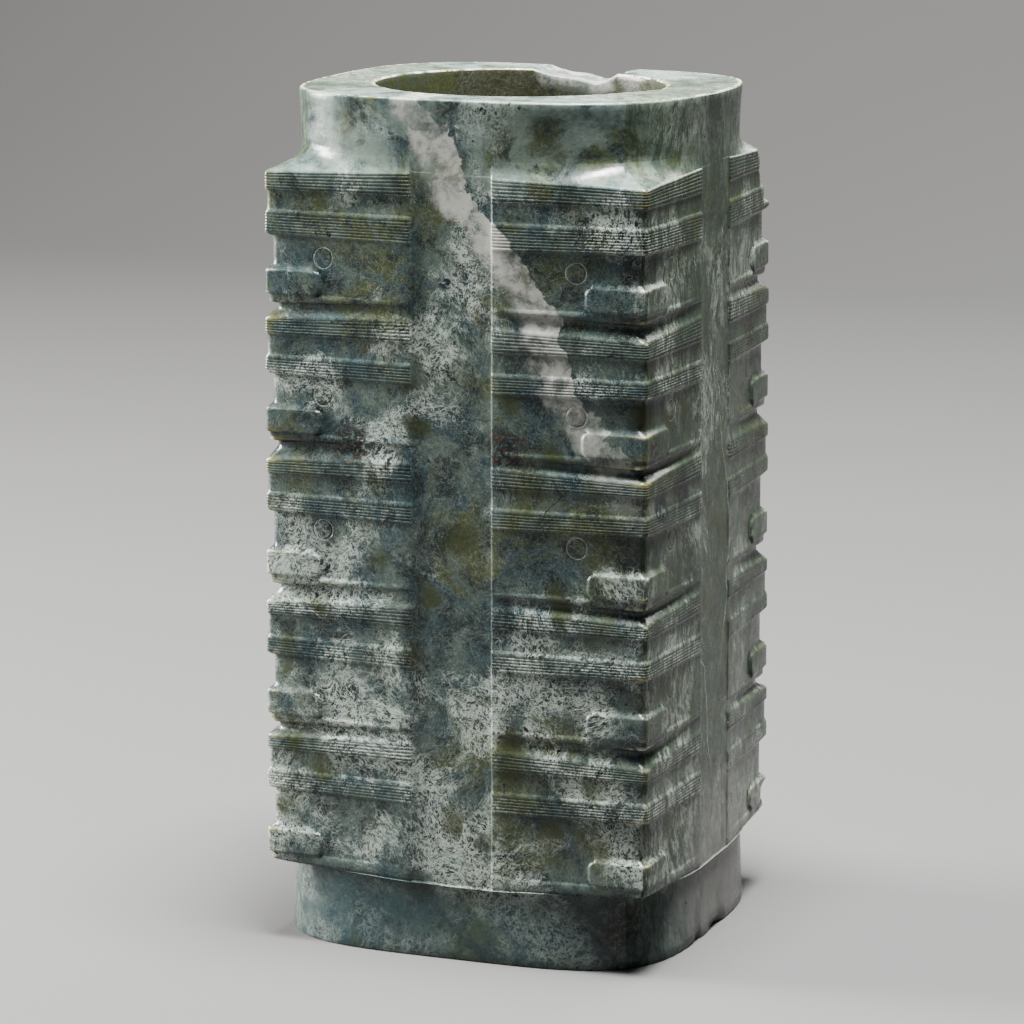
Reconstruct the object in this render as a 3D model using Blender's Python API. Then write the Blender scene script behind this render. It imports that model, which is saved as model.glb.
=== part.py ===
"""A tall jade cong: a square tube of stone with a round bore, carved from one block.

The stone stands on its foot at the origin, with +Z up and its front face towards -Y.  Four corner blocks
carry five tiers of carving each, and a plain channel runs down the middle of every face.  The skin is
lofted from level rows of points, the bore is a second loft inside it, and broken edges are cut out last.
"""

import math

import bmesh
import bpy
from mathutils import Euler, Vector

# The whole stone, in metres
HEIGHT = 0.2180
CORNER_WIDTH = 0.1027        # from corner to corner across the front, at mid height
CORNER_DEPTH = 0.0973        # from corner to corner front to back, at mid height
WIDTH_TAPER = 0.0011         # each corner moves out this much in X from the top tier to the lowest
DEPTH_TAPER = 0.0003         # and this much in Y
FACE_CROWN = 0.0015          # a half face leans out this much from its corner to its channel
BODY_SHIFT = 0.0006          # the blocks and the upper collar stand off the foot's middle, towards +X
CHANNEL_WIDTH = 0.0216
CHANNEL_DEPTHS = (0.0005, 0.0010)  # on the X faces, and on the Y faces

# The rounded square collars above and below the blocks
TOP_COLLAR_HEIGHT = 0.0183
TOP_SHOULDER_RISE = 0.0012   # the shoulder climbs this much from the block's edge to the collar
TOP_HOLLOW = 0.0026          # height of the hollow at the collar's base
TOP_SQUARENESS = 3.2         # 2 is a circle, and a large number is a square
RIM_FLARE = 0.0006
RIM_DIP = 0.0007             # the rim is worn lower at the back right
FOOT_COLLAR_HEIGHT = 0.0193
FOOT_HOLLOW = 0.0010
FOOT_SQUARENESS = 3.9
FOOT_FLARE = 0.0007
END_EDGE = 0.0005            # worn edge of the rim and of the foot

# The bore, drilled from both ends to meet half way
BORE_MOUTH_RADIUS = 0.0370
BORE_MIDDLE_RADIUS = 0.0345
BORE_LEDGE = 0.0006          # step where the upper and lower drillings meet
BORE_EDGE = 0.0006
BORE_SIDES = 64

# One tier, from its top down
TIER_COUNT = 5
TIER_SLIPS = (0.0, -0.0009, -0.0003, -0.0003, 0.0)
BAND_HEIGHTS = (0.0177, 0.0161, 0.0152, 0.0158, 0.0157)
CORNER_DROP = 0.0014         # a tier's top edge is this much lower at the corner
CORNER_LIFT = 0.0004         # and its lower edge this much higher
BUNDLE_SHARE = 0.33          # each bundle of fine lines takes this share of its band's height
STRIP_DEPTH = 0.0004
STRIP_SLOPE = 0.0003
EYE_DEPTH = 0.0013           # how far the eye field is cut back at the corner
EYE_DEPTH_BY_CHANNEL = 0.0002
BAR_HEIGHT = 0.0059          # face of the nose bar
BAR_SLOPE = 0.0012           # the bar's upper side
BAR_REACH = 0.0156           # from the corner to the bar's end, on both faces
BAR_END_ROUND = 0.0016
BAR_END_SLOPE = 0.0007
BAR_DEPTH = 0.0001
CHIN_HEIGHT = 0.0024
CHIN_DEPTH = 0.0007
CHIN_DEPTH_BY_CHANNEL = 0.0002
GROOVE_HEIGHT = 0.0019
GROOVE_DEPTH = 0.0020
GROOVE_DEPTH_BY_CHANNEL = 0.0004
SHOULDER_HEIGHT = 0.0020     # the slope from the groove down to the next band
STEP_HEIGHT = 0.0004         # height of a nearly level step in the carving
EDGE_WEAR = 0.0004
CORNER_ROUND = 0.0012
ROUND_GAIN = 0.9             # a deeper cut has a rounder corner, by this share of its depth
HAND_SLIP = 0.0006           # how far the carver's levels wander from corner to corner

# Places of the columns of points on a half face, from the corner to the channel
FIRST_COLUMN = 0.0062
LATE_COLUMNS = (0.62, 0.82)  # shares of the way from the corner to the channel
ARC_STEPS = 3

HALF_CHANNEL = CHANNEL_WIDTH / 2
BLOCK_TOP = HEIGHT - TOP_COLLAR_HEIGHT
BLOCK_FOOT = FOOT_COLLAR_HEIGHT
TIER_PITCH = (BLOCK_TOP - BLOCK_FOOT) / TIER_COUNT
QUARTERS = ((1, 1), (-1, 1), (-1, -1), (1, -1))


def half_sizes(z):
    """Half width and half depth of the blocks, at their corners, at one height."""
    share = (BLOCK_TOP - z) / (BLOCK_TOP - BLOCK_FOOT) - 0.5
    return CORNER_WIDTH / 2 + WIDTH_TAPER * share, CORNER_DEPTH / 2 + DEPTH_TAPER * share


def hand_slip(quarter, tier):
    """Small shift of one corner's levels, as the carver's hand left them."""
    return HAND_SLIP * math.sin(1.5 * tier + math.pi * quarter + 0.375)


def half_face_length(quarter_sizes, axis):
    """Length of a half face, from its corner to its channel."""
    return quarter_sizes[1 - axis] - HALF_CHANNEL


def quarter_columns():
    """Columns of one quarter, in order from its X face's channel to its Y face's channel.

    A column is its kind, the axis that its face looks along, and where it is.
    """
    face = [("floor", None), ("edge", None)]
    face += [("late", share) for share in reversed(LATE_COLUMNS)]
    face += [("bar_out", None), ("bar_in", None), ("first", None)]
    columns = [(kind, 0, place) for kind, place in face]
    columns += [("arc", 0, step / ARC_STEPS) for step in range(ARC_STEPS + 1)]
    columns += [(kind, 1, place) for kind, place in reversed(face)]
    return columns


def outline_columns():
    """All columns round the stone, anticlockwise from the +X face, with their quarter's number."""
    columns = []
    for quarter, (sign_x, sign_y) in enumerate(QUARTERS):
        own = quarter_columns()
        if sign_x * sign_y < 0:
            own.reverse()
        columns += [(quarter, kind, axis, place) for kind, axis, place in own]
    return columns


def column_reach(kind, place, length, inset):
    """Distance of a face column from its corner; the bar's end is drawn in by an inset."""
    if kind == "first":
        return FIRST_COLUMN
    if kind == "bar_in":
        return BAR_REACH - BAR_END_SLOPE / 2 - inset
    if kind == "bar_out":
        return BAR_REACH + BAR_END_SLOPE / 2 - inset
    if kind == "late":
        return length * place
    return length


def block_point(column, row):
    """A point of the blocks' carved skin, or of the channel between them."""
    quarter, kind, axis, place = column
    z_corner, z_edge = row["corner"], row["edge"]
    slip = hand_slip(quarter, row["tier"])
    sizes = half_sizes((z_corner + z_edge) / 2)
    length = half_face_length(sizes, axis)
    if kind == "arc":
        depth = row["depth"]
        radius = CORNER_ROUND + ROUND_GAIN * depth
        turn = place * math.pi / 2
        x = sizes[0] - depth - radius + radius * math.cos(turn)
        y = sizes[1] - depth - radius + radius * math.sin(turn)
        return quarter_point(quarter, x, y, z_corner + slip)
    reach = column_reach(kind, place, length, row["inset"])
    share = reach / length
    depth = row["depth"] + (row["depth_by_channel"] - row["depth"]) * share
    if kind in ("bar_out", "late", "edge"):
        depth = row["outside"] + (row["depth_by_channel"] - row["outside"]) * share
    if kind == "floor":
        depth = CHANNEL_DEPTHS[axis]
    out = sizes[axis] + FACE_CROWN * share - depth
    along = sizes[1 - axis] - reach
    x, y = (out, along) if axis == 0 else (along, out)
    return quarter_point(quarter, x, y, z_corner + (z_edge - z_corner) * share + slip)


def quarter_point(quarter, x, y, z):
    """Put a point of the first quarter into the quarter that it belongs to."""
    sign_x, sign_y = QUARTERS[quarter]
    return Vector((sign_x * x + BODY_SHIFT, sign_y * y, z))


def collar_point(column, z, squareness, flare, shift=BODY_SHIFT):
    """A point on a rounded square collar, in line with a column of the blocks below or above it."""
    kind = column[1]
    in_line = column if kind != "edge" else (column[0], "floor", column[2], column[3])
    plain = plain_row(min(max(z, BLOCK_FOOT), BLOCK_TOP))
    point = block_point(in_line, plain)
    sizes = half_sizes(plain["corner"])
    half_x = sizes[0] + FACE_CROWN - CHANNEL_DEPTHS[0] + flare
    half_y = sizes[1] + FACE_CROWN - CHANNEL_DEPTHS[1] + flare
    x = point.x - BODY_SHIFT
    reach = (abs(x / half_x) ** squareness + abs(point.y / half_y) ** squareness) ** (1 / squareness)
    return Vector((x / reach + shift, point.y / reach, z))


def plain_row(z):
    """A level row with no carving."""
    return make_row(0, z, z, 0.0, 0.0)


def make_row(tier, z_corner, z_edge, depth, depth_by_channel, inset=0.0, outside=None):
    """One row of a block: its levels and depths at the corner and by the channel.

    A depth given as outside holds beyond the nose bar's end.
    """
    return {"tier": tier, "corner": z_corner, "edge": z_edge, "depth": depth,
            "depth_by_channel": depth_by_channel, "inset": inset,
            "outside": depth if outside is None else outside}


def tier_top(tier):
    """Level of a tier's top edge beside the channel; the tier past the last is the blocks' underside."""
    if tier == TIER_COUNT:
        return BLOCK_FOOT
    return BLOCK_TOP - tier * TIER_PITCH + TIER_SLIPS[tier]


def band_rows(tier):
    """The band: a bundle of lines, a smooth strip a little deeper, and a second bundle."""
    top = tier_top(tier)
    low = top - BAND_HEIGHTS[tier]
    corner_top = top - CORNER_DROP
    corner_low = low + CORNER_LIFT
    bundle = BUNDLE_SHARE * BAND_HEIGHTS[tier]
    upper = top - bundle
    lower = low + bundle
    return [
        make_row(tier, corner_top, top, EDGE_WEAR, EDGE_WEAR),
        make_row(tier, corner_top - EDGE_WEAR, top - EDGE_WEAR, 0.0, 0.0),
        make_row(tier, upper, upper, 0.0, 0.0),
        make_row(tier, upper - STRIP_SLOPE, upper - STRIP_SLOPE, STRIP_DEPTH, STRIP_DEPTH),
        make_row(tier, lower + STRIP_SLOPE, lower + STRIP_SLOPE, STRIP_DEPTH, STRIP_DEPTH),
        make_row(tier, lower, lower, 0.0, 0.0),
        make_row(tier, corner_low, low, 0.0, 0.0),
    ]


def face_rows(tier):
    """Below the band: the eye field, the nose bar, the chin and, above the next tier, the groove."""
    low = tier_top(tier) - BAND_HEIGHTS[tier]
    last = tier == TIER_COUNT - 1
    under = tier_top(tier + 1)
    under_corner = under + (CORNER_DROP if last else -CORNER_DROP)
    groove_low = under + SHOULDER_HEIGHT
    groove_low_corner = under_corner + SHOULDER_HEIGHT
    chin_low = under if last else groove_low + GROOVE_HEIGHT
    chin_low_corner = under_corner if last else groove_low_corner + GROOVE_HEIGHT
    bar_low = chin_low_corner + CHIN_HEIGHT
    bar_top = bar_low + BAR_HEIGHT
    eye = (EYE_DEPTH, EYE_DEPTH_BY_CHANNEL)
    chin = (CHIN_DEPTH, CHIN_DEPTH_BY_CHANNEL)
    rows = [
        make_row(tier, low + CORNER_LIFT - STEP_HEIGHT, low - STEP_HEIGHT, *eye),
        make_row(tier, bar_top + BAR_SLOPE, bar_top + BAR_SLOPE, *eye, inset=BAR_END_ROUND),
    ]
    for level, inset in (
        (bar_top, BAR_END_ROUND),
        (bar_top - BAR_END_ROUND, 0.0),
        (bar_low + BAR_END_ROUND, 0.0),
        (bar_low, BAR_END_ROUND),
    ):
        rows.append(make_row(tier, level, level, BAR_DEPTH, eye[1], inset=inset, outside=EYE_DEPTH))
    rows.append(make_row(tier, bar_low - STEP_HEIGHT, bar_low - STEP_HEIGHT, *chin, inset=BAR_END_ROUND))
    if last:
        rows.append(make_row(tier, chin_low_corner + EDGE_WEAR, chin_low + EDGE_WEAR, *chin))
        rows.append(make_row(tier, chin_low_corner, chin_low, chin[0] + EDGE_WEAR, chin[1] + EDGE_WEAR))
    else:
        groove = (GROOVE_DEPTH, GROOVE_DEPTH_BY_CHANNEL)
        rows.append(make_row(tier, chin_low_corner, chin_low, *chin))
        rows.append(make_row(tier, chin_low_corner - STEP_HEIGHT, chin_low - STEP_HEIGHT, *groove))
        rows.append(make_row(tier, groove_low_corner, groove_low, *groove))
    return rows


def worn_rim(point):
    """Lower a point of the rim where the rim is worn, at the back right."""
    facing = (point.x + point.y) / (abs(point.x) + abs(point.y))
    point.z -= RIM_DIP * max(facing, 0.0) ** 2
    return point


def top_collar_rows(columns):
    """The upper collar, from the rim's flat down to the hollow where it meets the shoulder."""
    base = BLOCK_TOP + TOP_SHOULDER_RISE
    levels = (
        (HEIGHT, RIM_FLARE - END_EDGE),
        (HEIGHT - END_EDGE, RIM_FLARE),
        (base + 0.6 * (HEIGHT - base), 0.3 * RIM_FLARE),
        (base + TOP_HOLLOW, 0.0),
    )
    rows = [[collar_point(column, z, TOP_SQUARENESS, flare) for column in columns]
            for z, flare in levels]
    rows[0] = [worn_rim(point) for point in rows[0]]
    rows[1] = [worn_rim(point) for point in rows[1]]
    edge = make_row(0, BLOCK_TOP - CORNER_DROP, BLOCK_TOP, EDGE_WEAR, EDGE_WEAR)
    for z, share in ((base + 0.3 * TOP_HOLLOW, 0.06), (base, 0.22)):
        rows.append([shoulder_point(column, edge, z, share) for column in columns])
    return rows


def shoulder_point(column, edge, z, share):
    """A point between the collar's base and the top edge of the blocks; channels run on unbroken."""
    inner = collar_point(column, z, TOP_SQUARENESS, 0.0)
    if column[1] in ("floor", "edge"):
        return inner
    outer = block_point(column, edge)
    return inner.lerp(Vector((outer.x, outer.y, z)), share)


def foot_collar_rows(columns):
    """The lower collar, from the underside of the blocks down to the flat that it stands on."""
    underside = make_row(TIER_COUNT - 1, BLOCK_FOOT + CORNER_DROP, BLOCK_FOOT, CHIN_DEPTH, CHIN_DEPTH)
    rows = []
    for drop, flare in ((0.0, FOOT_HOLLOW), (FOOT_HOLLOW, 0.0)):
        row = []
        for column in columns:
            z = block_point(column, underside).z - drop
            row.append(collar_point(column, z, FOOT_SQUARENESS, flare, 0.0))
        rows.append(row)
    for z, flare in (
        (0.3 * BLOCK_FOOT, 0.7 * FOOT_FLARE),
        (END_EDGE, FOOT_FLARE),
        (0.0, FOOT_FLARE - END_EDGE),
    ):
        rows.append([collar_point(column, z, FOOT_SQUARENESS, flare, 0.0)
                     for column in columns])
    return rows


def skin_rows(columns):
    """Every row of the outer skin, from the rim down to the foot."""
    rows = top_collar_rows(columns)
    for tier in range(TIER_COUNT):
        for row in band_rows(tier) + face_rows(tier):
            rows.append([block_point(column, row) for column in columns])
    return rows + foot_collar_rows(columns)


def bore_rows():
    """Rows of the bore from its upper mouth down to its lower one: two tapered drillings and a ledge."""
    middle = HEIGHT / 2
    slope = BORE_MOUTH_RADIUS - BORE_MIDDLE_RADIUS
    levels = [(HEIGHT, BORE_MOUTH_RADIUS + BORE_EDGE), (HEIGHT - BORE_EDGE, BORE_MOUTH_RADIUS)]
    levels += [(middle * (1 + share), BORE_MIDDLE_RADIUS + slope * share ** 1.5) for share in (0.66, 0.33)]
    levels += [(middle + BORE_LEDGE, BORE_MIDDLE_RADIUS), (middle, BORE_MIDDLE_RADIUS + BORE_LEDGE)]
    levels += [(middle * (1 - share), BORE_MIDDLE_RADIUS + slope * share ** 1.5) for share in (0.33, 0.66)]
    levels += [(BORE_EDGE, BORE_MOUTH_RADIUS), (0.0, BORE_MOUTH_RADIUS + BORE_EDGE)]
    rows = []
    for z, radius in levels:
        turns = [2 * math.pi * side / BORE_SIDES for side in range(BORE_SIDES)]
        rows.append([Vector((radius * math.cos(turn), radius * math.sin(turn), z)) for turn in turns])
    return rows


def loft(mesh, rows, inward):
    """Skin a stack of closed rows with four-sided faces; returns the rows of vertices."""
    made = [[mesh.verts.new(point) for point in row] for row in rows]
    for upper, lower in zip(made, made[1:]):
        for index, corner in enumerate(upper):
            beside = (index + 1) % len(upper)
            quad = (corner, lower[index], lower[beside], upper[beside])
            mesh.faces.new(tuple(reversed(quad)) if inward else quad)
    return made


def angle_of(vertex):
    """Angle of a vertex round the axis, from 0 up to a full turn."""
    return math.atan2(vertex.co.y, vertex.co.x) % (2 * math.pi)


def close_end(mesh, outer, inner, upward):
    """Fill the flat between an outer row and the bore's mouth with triangles, by angle."""
    outer = sorted(outer, key=angle_of)
    inner = sorted(inner, key=angle_of)
    i = j = 0
    while i < len(outer) or j < len(inner):
        here, there = outer[i % len(outer)], inner[j % len(inner)]
        next_out = angle_of(outer[i]) if i < len(outer) else math.inf
        next_in = angle_of(inner[j]) if j < len(inner) else math.inf
        if next_out <= next_in:
            triangle = (outer[i - 1], here, inner[j - 1] if j else inner[-1])
            i += 1
        else:
            triangle = (outer[i - 1] if i else outer[-1], there, inner[j - 1])
            j += 1
        if len(set(triangle)) == 3:
            mesh.faces.new(triangle if upward else tuple(reversed(triangle)))


def build_stone():
    """The closed skin of the unbroken stone."""
    columns = outline_columns()
    mesh = bmesh.new()
    skin = loft(mesh, skin_rows(columns), inward=False)
    bore = loft(mesh, bore_rows(), inward=True)
    close_end(mesh, skin[0], bore[0], upward=True)
    close_end(mesh, skin[-1], bore[-1], upward=False)
    bmesh.ops.remove_doubles(mesh, verts=mesh.verts, dist=1e-6)
    bmesh.ops.dissolve_limit(mesh, angle_limit=math.radians(1.5), verts=mesh.verts, edges=mesh.edges)
    bmesh.ops.triangulate(mesh, faces=mesh.faces)
    bmesh.ops.recalc_face_normals(mesh, faces=mesh.faces)
    data = bpy.data.meshes.new("cong")
    mesh.to_mesh(data)
    mesh.free()
    stone = bpy.data.objects.new("cong", data)
    bpy.context.collection.objects.link(stone)
    data.shade_smooth()
    data.set_sharp_from_angle(angle=math.radians(28))
    return stone


def build_material():
    """Polished grey-green nephrite."""
    material = bpy.data.materials.new("jade")
    material.use_nodes = True
    shader = material.node_tree.nodes["Principled BSDF"]
    shader.inputs["Base Color"].default_value = (0.17, 0.20, 0.14, 1.0)
    shader.inputs["Roughness"].default_value = 0.32
    shader.inputs["Metallic"].default_value = 0.0
    return material


def flake_scar(stone, name, centre, size, turn):
    """Cut a flaked scar: a faceted pebble shape of the given full size is taken out of the stone."""
    mesh = bmesh.new()
    bmesh.ops.create_icosphere(mesh, subdivisions=2, radius=0.5)
    data = bpy.data.meshes.new(name)
    mesh.to_mesh(data)
    mesh.free()
    for vertex in data.vertices:
        vertex.co = Vector(vertex.co) * Vector(size)
    cutter = bpy.data.objects.new(name, data)
    cutter.location = centre
    cutter.rotation_euler = Euler([math.radians(angle) for angle in turn])
    cutter.hide_render = True
    cutter.display_type = "WIRE"
    bpy.context.collection.objects.link(cutter)
    cut = stone.modifiers.new(name, "BOOLEAN")
    cut.operation = "DIFFERENCE"
    cut.solver = "EXACT"
    cut.object = cutter


def break_edges(stone):
    """The losses: a scalloped rim at the back, a sheared corner, and nicks along rim and foot."""
    half_x, half_y = half_sizes(BLOCK_TOP)
    foot_x, foot_y = half_sizes(BLOCK_FOOT)
    wall_middle = (BORE_MOUTH_RADIUS + half_y) / 2
    rim_front = -half_y - RIM_FLARE
    foot_side = foot_x + FACE_CROWN
    corner_x = half_x + BODY_SHIFT
    scars = (
        ("rim_scar_wide", (-0.001, wall_middle, HEIGHT + 0.0030), (0.026, 0.032, 0.0100), (6, 4, 0)),
        ("rim_scar_deep", (0.0065, wall_middle, HEIGHT + 0.0022), (0.014, 0.034, 0.0108), (-8, -10, 8)),
        ("rim_nick", (-0.0140, rim_front - 0.0008, HEIGHT + 0.0006), (0.0042, 0.0050, 0.0040), (0, 20, 0)),
        ("sheared_corner", (corner_x + 0.0025, half_y + 0.0025, BLOCK_TOP + 0.0070), (0.026, 0.040, 0.048),
         (0, 0, 45)),
        ("worn_bar", (foot_x + 0.0022, foot_y + 0.0022, BLOCK_FOOT + 0.0050), (0.011, 0.013, 0.012),
         (0, 0, 45)),
        ("foot_nick_long", (foot_side + 0.0012, 0.0030, -0.0010), (0.0054, 0.0130, 0.0064), (0, 0, 6)),
        ("foot_nick_short", (foot_side + 0.0006, -0.0120, -0.0012), (0.0044, 0.0060, 0.0050), (0, 0, -8)),
    )
    for name, centre, size, turn in scars:
        flake_scar(stone, name, centre, size, turn)


def main():
    for old in list(bpy.data.objects):
        bpy.data.objects.remove(old)
    stone = build_stone()
    stone.data.materials.append(build_material())
    break_edges(stone)


main()
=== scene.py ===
"""A jade cong: the carved stone worked out as one fine surface, its nephrite, and a plain studio.

The stone stands at the origin with +Z up and its front face towards -Y.  Its skin is a grid of points that
is closed both ways: down the outside, in under the foot, up the bore and out over the rim.
"""

import itertools
import math

import bpy
import numpy as np
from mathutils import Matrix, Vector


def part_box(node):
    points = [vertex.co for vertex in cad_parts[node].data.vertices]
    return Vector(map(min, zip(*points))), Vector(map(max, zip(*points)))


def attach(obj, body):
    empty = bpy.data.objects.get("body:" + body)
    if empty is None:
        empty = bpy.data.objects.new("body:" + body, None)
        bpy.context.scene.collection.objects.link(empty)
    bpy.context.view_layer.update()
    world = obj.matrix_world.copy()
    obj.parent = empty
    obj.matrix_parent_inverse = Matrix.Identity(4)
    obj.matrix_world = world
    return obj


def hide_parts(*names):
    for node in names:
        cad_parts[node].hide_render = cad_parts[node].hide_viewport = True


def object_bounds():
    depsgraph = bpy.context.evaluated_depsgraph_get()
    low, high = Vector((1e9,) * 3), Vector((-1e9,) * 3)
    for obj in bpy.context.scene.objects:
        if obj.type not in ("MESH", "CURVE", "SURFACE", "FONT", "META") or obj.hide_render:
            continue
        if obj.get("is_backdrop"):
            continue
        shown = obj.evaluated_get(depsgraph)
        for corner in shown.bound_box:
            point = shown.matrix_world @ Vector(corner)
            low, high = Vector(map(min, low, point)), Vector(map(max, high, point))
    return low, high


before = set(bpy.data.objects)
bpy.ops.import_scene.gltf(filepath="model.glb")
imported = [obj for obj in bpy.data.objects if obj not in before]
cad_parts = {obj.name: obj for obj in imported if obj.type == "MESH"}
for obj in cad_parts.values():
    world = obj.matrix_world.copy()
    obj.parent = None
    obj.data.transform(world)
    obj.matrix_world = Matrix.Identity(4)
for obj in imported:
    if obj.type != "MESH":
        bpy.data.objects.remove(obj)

bl_info = {
    "name": "Jade Cong",
    "version": (1, 0, 0),
    "blender": (4, 5, 0),
    "location": "3D View > Sidebar > Cong",
    "description": "Carves a five-tier jade cong, colours its stone and lights it in a plain studio",
    "category": "Object",
}

# The stone's own sizes, in metres, as its solid has them
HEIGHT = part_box("cong")[1].z
CORNER_WIDTH = 0.1027
CORNER_DEPTH = 0.0973
WIDTH_TAPER = 0.0011
DEPTH_TAPER = 0.0003
FACE_CROWN = 0.0015
BODY_SHIFT = 0.0006
HALF_CHANNEL = 0.0108
CHANNEL_DEPTHS = (0.0005, 0.0010)
TOP_COLLAR_HEIGHT = 0.0183
TOP_SHOULDER_RISE = 0.0012
TOP_HOLLOW = 0.0026
TOP_SQUARENESS = 3.2
RIM_FLARE = 0.0006
RIM_DIP = 0.0007
FOOT_COLLAR_HEIGHT = 0.0193
FOOT_HOLLOW = 0.00095
FOOT_SQUARENESS = 3.9
FOOT_FLARE = 0.0007
END_EDGE = 0.0005
BORE_MOUTH_RADIUS = 0.0370
BORE_MIDDLE_RADIUS = 0.0345
BORE_LEDGE = 0.0006
BORE_EDGE = 0.0006

# The carving of a tier
TIER_COUNT = 5
TIER_SLIPS = (0.0, -0.0009, -0.0003, -0.0003, 0.0)
BAND_HEIGHTS = (0.0177, 0.0161, 0.0152, 0.0158, 0.0157)
BUNDLES = ((0.0060, 0.0064), (0.0058, 0.0048), (0.0050, 0.0049), (0.0049, 0.0049), (0.0049, 0.0050))
CORNER_DROP = 0.0014
CORNER_LIFT = 0.0004
STRIP_DEPTH = 0.0004
STRIP_SLOPE = 0.0003
EYE_DEPTH = 0.0013
EYE_DEPTH_BY_CHANNEL = 0.0002
BAR_HEIGHT = 0.0059
BAR_SLOPE = 0.0012
BAR_REACH = 0.0156
BAR_END_ROUND = 0.0016
BAR_END_SLOPE = 0.0008
BAR_DEPTH = 0.0001
CHIN_HEIGHT = 0.0024
CHIN_DEPTH = 0.0007
CHIN_DEPTH_BY_CHANNEL = 0.0002
GROOVE_HEIGHT = 0.0019
GROOVE_DEPTH = 0.0020
GROOVE_DEPTH_BY_CHANNEL = 0.0004
SHOULDER_HEIGHT = 0.0020
STEP_HEIGHT = 0.0004
EDGE_WEAR = 0.0004
CORNER_ROUND = 0.0012
ROUND_GAIN = 0.9
HAND_SLIP = 0.0006

BLOCK_TOP = HEIGHT - TOP_COLLAR_HEIGHT
BLOCK_FOOT = FOOT_COLLAR_HEIGHT
TIER_PITCH = (BLOCK_TOP - BLOCK_FOOT) / TIER_COUNT
QUARTERS = np.array(((1, 1), (-1, 1), (-1, -1), (1, -1)))
BACK_RIGHT, BACK_LEFT, FRONT_LEFT, FRONT_RIGHT = range(4)

# The ring of an eye in each face of the four upper tiers
EYE_RADIUS = 0.00262
EYE_LINE = 0.0002            # half width of a ring's groove
EYE_CUT = 0.00013
EYE_ROOM = 0.0030            # how far a round patch reaches from the eye's centre
EYE_DROPS = (0.0049, 0.0046, 0.0036, 0.0053)
EYE_REACHES = (0.0181, 0.0172, 0.0161, 0.0185)
EYE_POINTS = 40
EYE_HOLE = 1.06              # how much wider than its patch the hole in the grid is

# The broken back of the rim: each bite's middle, half width, half depth front to back, sink and height above
RIM_BITES = (
    (-0.0010, 0.0130, 0.0160, 0.0050, 0.0030),
    (0.0065, 0.0072, 0.0170, 0.0054, 0.0022),
)
RIM_REACH = 0.014            # how far down a change of the rim's height is spread

# How the grid of points is laid out
FINE_STEP = 0.00002
ARC_COUNT = 7
CHANNEL_PLACES = (0.0045, 0.0086, 0.01035, 0.01065, 0.01095, 0.01125)
CHANNEL_WALL = 0.00026       # half width of the channel's sloping wall
SPAN_SHARES = (0.14, 0.36, 0.58, 0.80)
LOWER_LIP = 0.0006           # plain lip above a band's lower bundle
LAST_LINES = (1.7, 1.2)      # how much deeper the last line of the upper and the lower bundle is
STRIP_ROWS = 8
FIELD_ROWS = 32
EDGE_UNIT = 0.0006           # how proud a fully exposed edge stands
PROUD_BLUR = 0.0009          # width of the blur that says what an edge stands proud of
CORNER_PLACES = (0.0176, 0.01625, 0.01588, 0.0156, 0.01532, 0.01495, 0.0134, 0.0112, 0.0088, 0.0064)
ON_CHANNEL, ON_SPAN, ON_CORNER, ON_ARC = range(4)


def smooth(share):
    """3t^2 - 2t^3, held at 0 and 1 outside the unit range."""
    held = np.clip(share, 0.0, 1.0)
    return held * held * (3 - 2 * held)


def mixed(first, second, share):
    """Straight mix of two values."""
    return first + (second - first) * share


def lattice_value(cells, seed):
    """A value from -1 to 1 for each lattice corner, hashed from its whole-number place."""
    word = cells[..., 0] * 73856093 + cells[..., 1] * 19349663 + cells[..., 2] * 83492791 + seed * 15485863
    word = (word ^ (word >> 13)) & 0xFFFFFFFF
    word = (word * 1274126177) & 0xFFFFFFFF
    word = word ^ (word >> 16)
    return (word & 0xFFFF) / 32767.5 - 1.0


def wander(points, size, seed):
    """Smooth noise from -1 to 1: lattice values a given size apart, blended along each axis."""
    place = np.asarray(points) / size
    cell = np.floor(place).astype(np.int64)
    share = smooth(place - cell)
    total = 0.0
    for corner in itertools.product((0, 1), repeat=3):
        weight = np.prod(np.where(np.array(corner), share, 1 - share), axis=-1)
        total = total + weight * lattice_value(cell + np.array(corner), seed)
    return total


def half_sizes(level):
    """Half width and half depth at the corners: each changes evenly from the top tier to the lowest."""
    share = (BLOCK_TOP - level) / (BLOCK_TOP - BLOCK_FOOT) - 0.5
    return CORNER_WIDTH / 2 + WIDTH_TAPER * share, CORNER_DEPTH / 2 + DEPTH_TAPER * share


def tier_top(tier):
    """Level of a tier's top edge beside the channel."""
    if tier == TIER_COUNT:
        return BLOCK_FOOT
    return BLOCK_TOP - tier * TIER_PITCH + TIER_SLIPS[tier]


def band_knots(tier):
    """Where the band's slope changes: its worn top edge, the recessed strip, and its lower edge.

    A knot is the tier, the level at the corner, the level by the channel, then three depths: at the corner,
    by the channel, and beyond the nose bar's end.
    """
    top = tier_top(tier)
    low = top - BAND_HEIGHTS[tier]
    upper = top - BUNDLES[tier][0]
    lower = low + BUNDLES[tier][1]
    corner_top = top - CORNER_DROP
    return [
        (tier, corner_top, top, EDGE_WEAR, EDGE_WEAR, EDGE_WEAR),
        (tier, corner_top - EDGE_WEAR, top - EDGE_WEAR, 0.0, 0.0, 0.0),
        (tier, upper, upper, 0.0, 0.0, 0.0),
        (tier, upper - STRIP_SLOPE, upper - STRIP_SLOPE, STRIP_DEPTH, STRIP_DEPTH, STRIP_DEPTH),
        (tier, lower + STRIP_SLOPE, lower + STRIP_SLOPE, STRIP_DEPTH, STRIP_DEPTH, STRIP_DEPTH),
        (tier, lower, lower, 0.0, 0.0, 0.0),
        (tier, low + CORNER_LIFT, low, 0.0, 0.0, 0.0),
    ]


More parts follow.
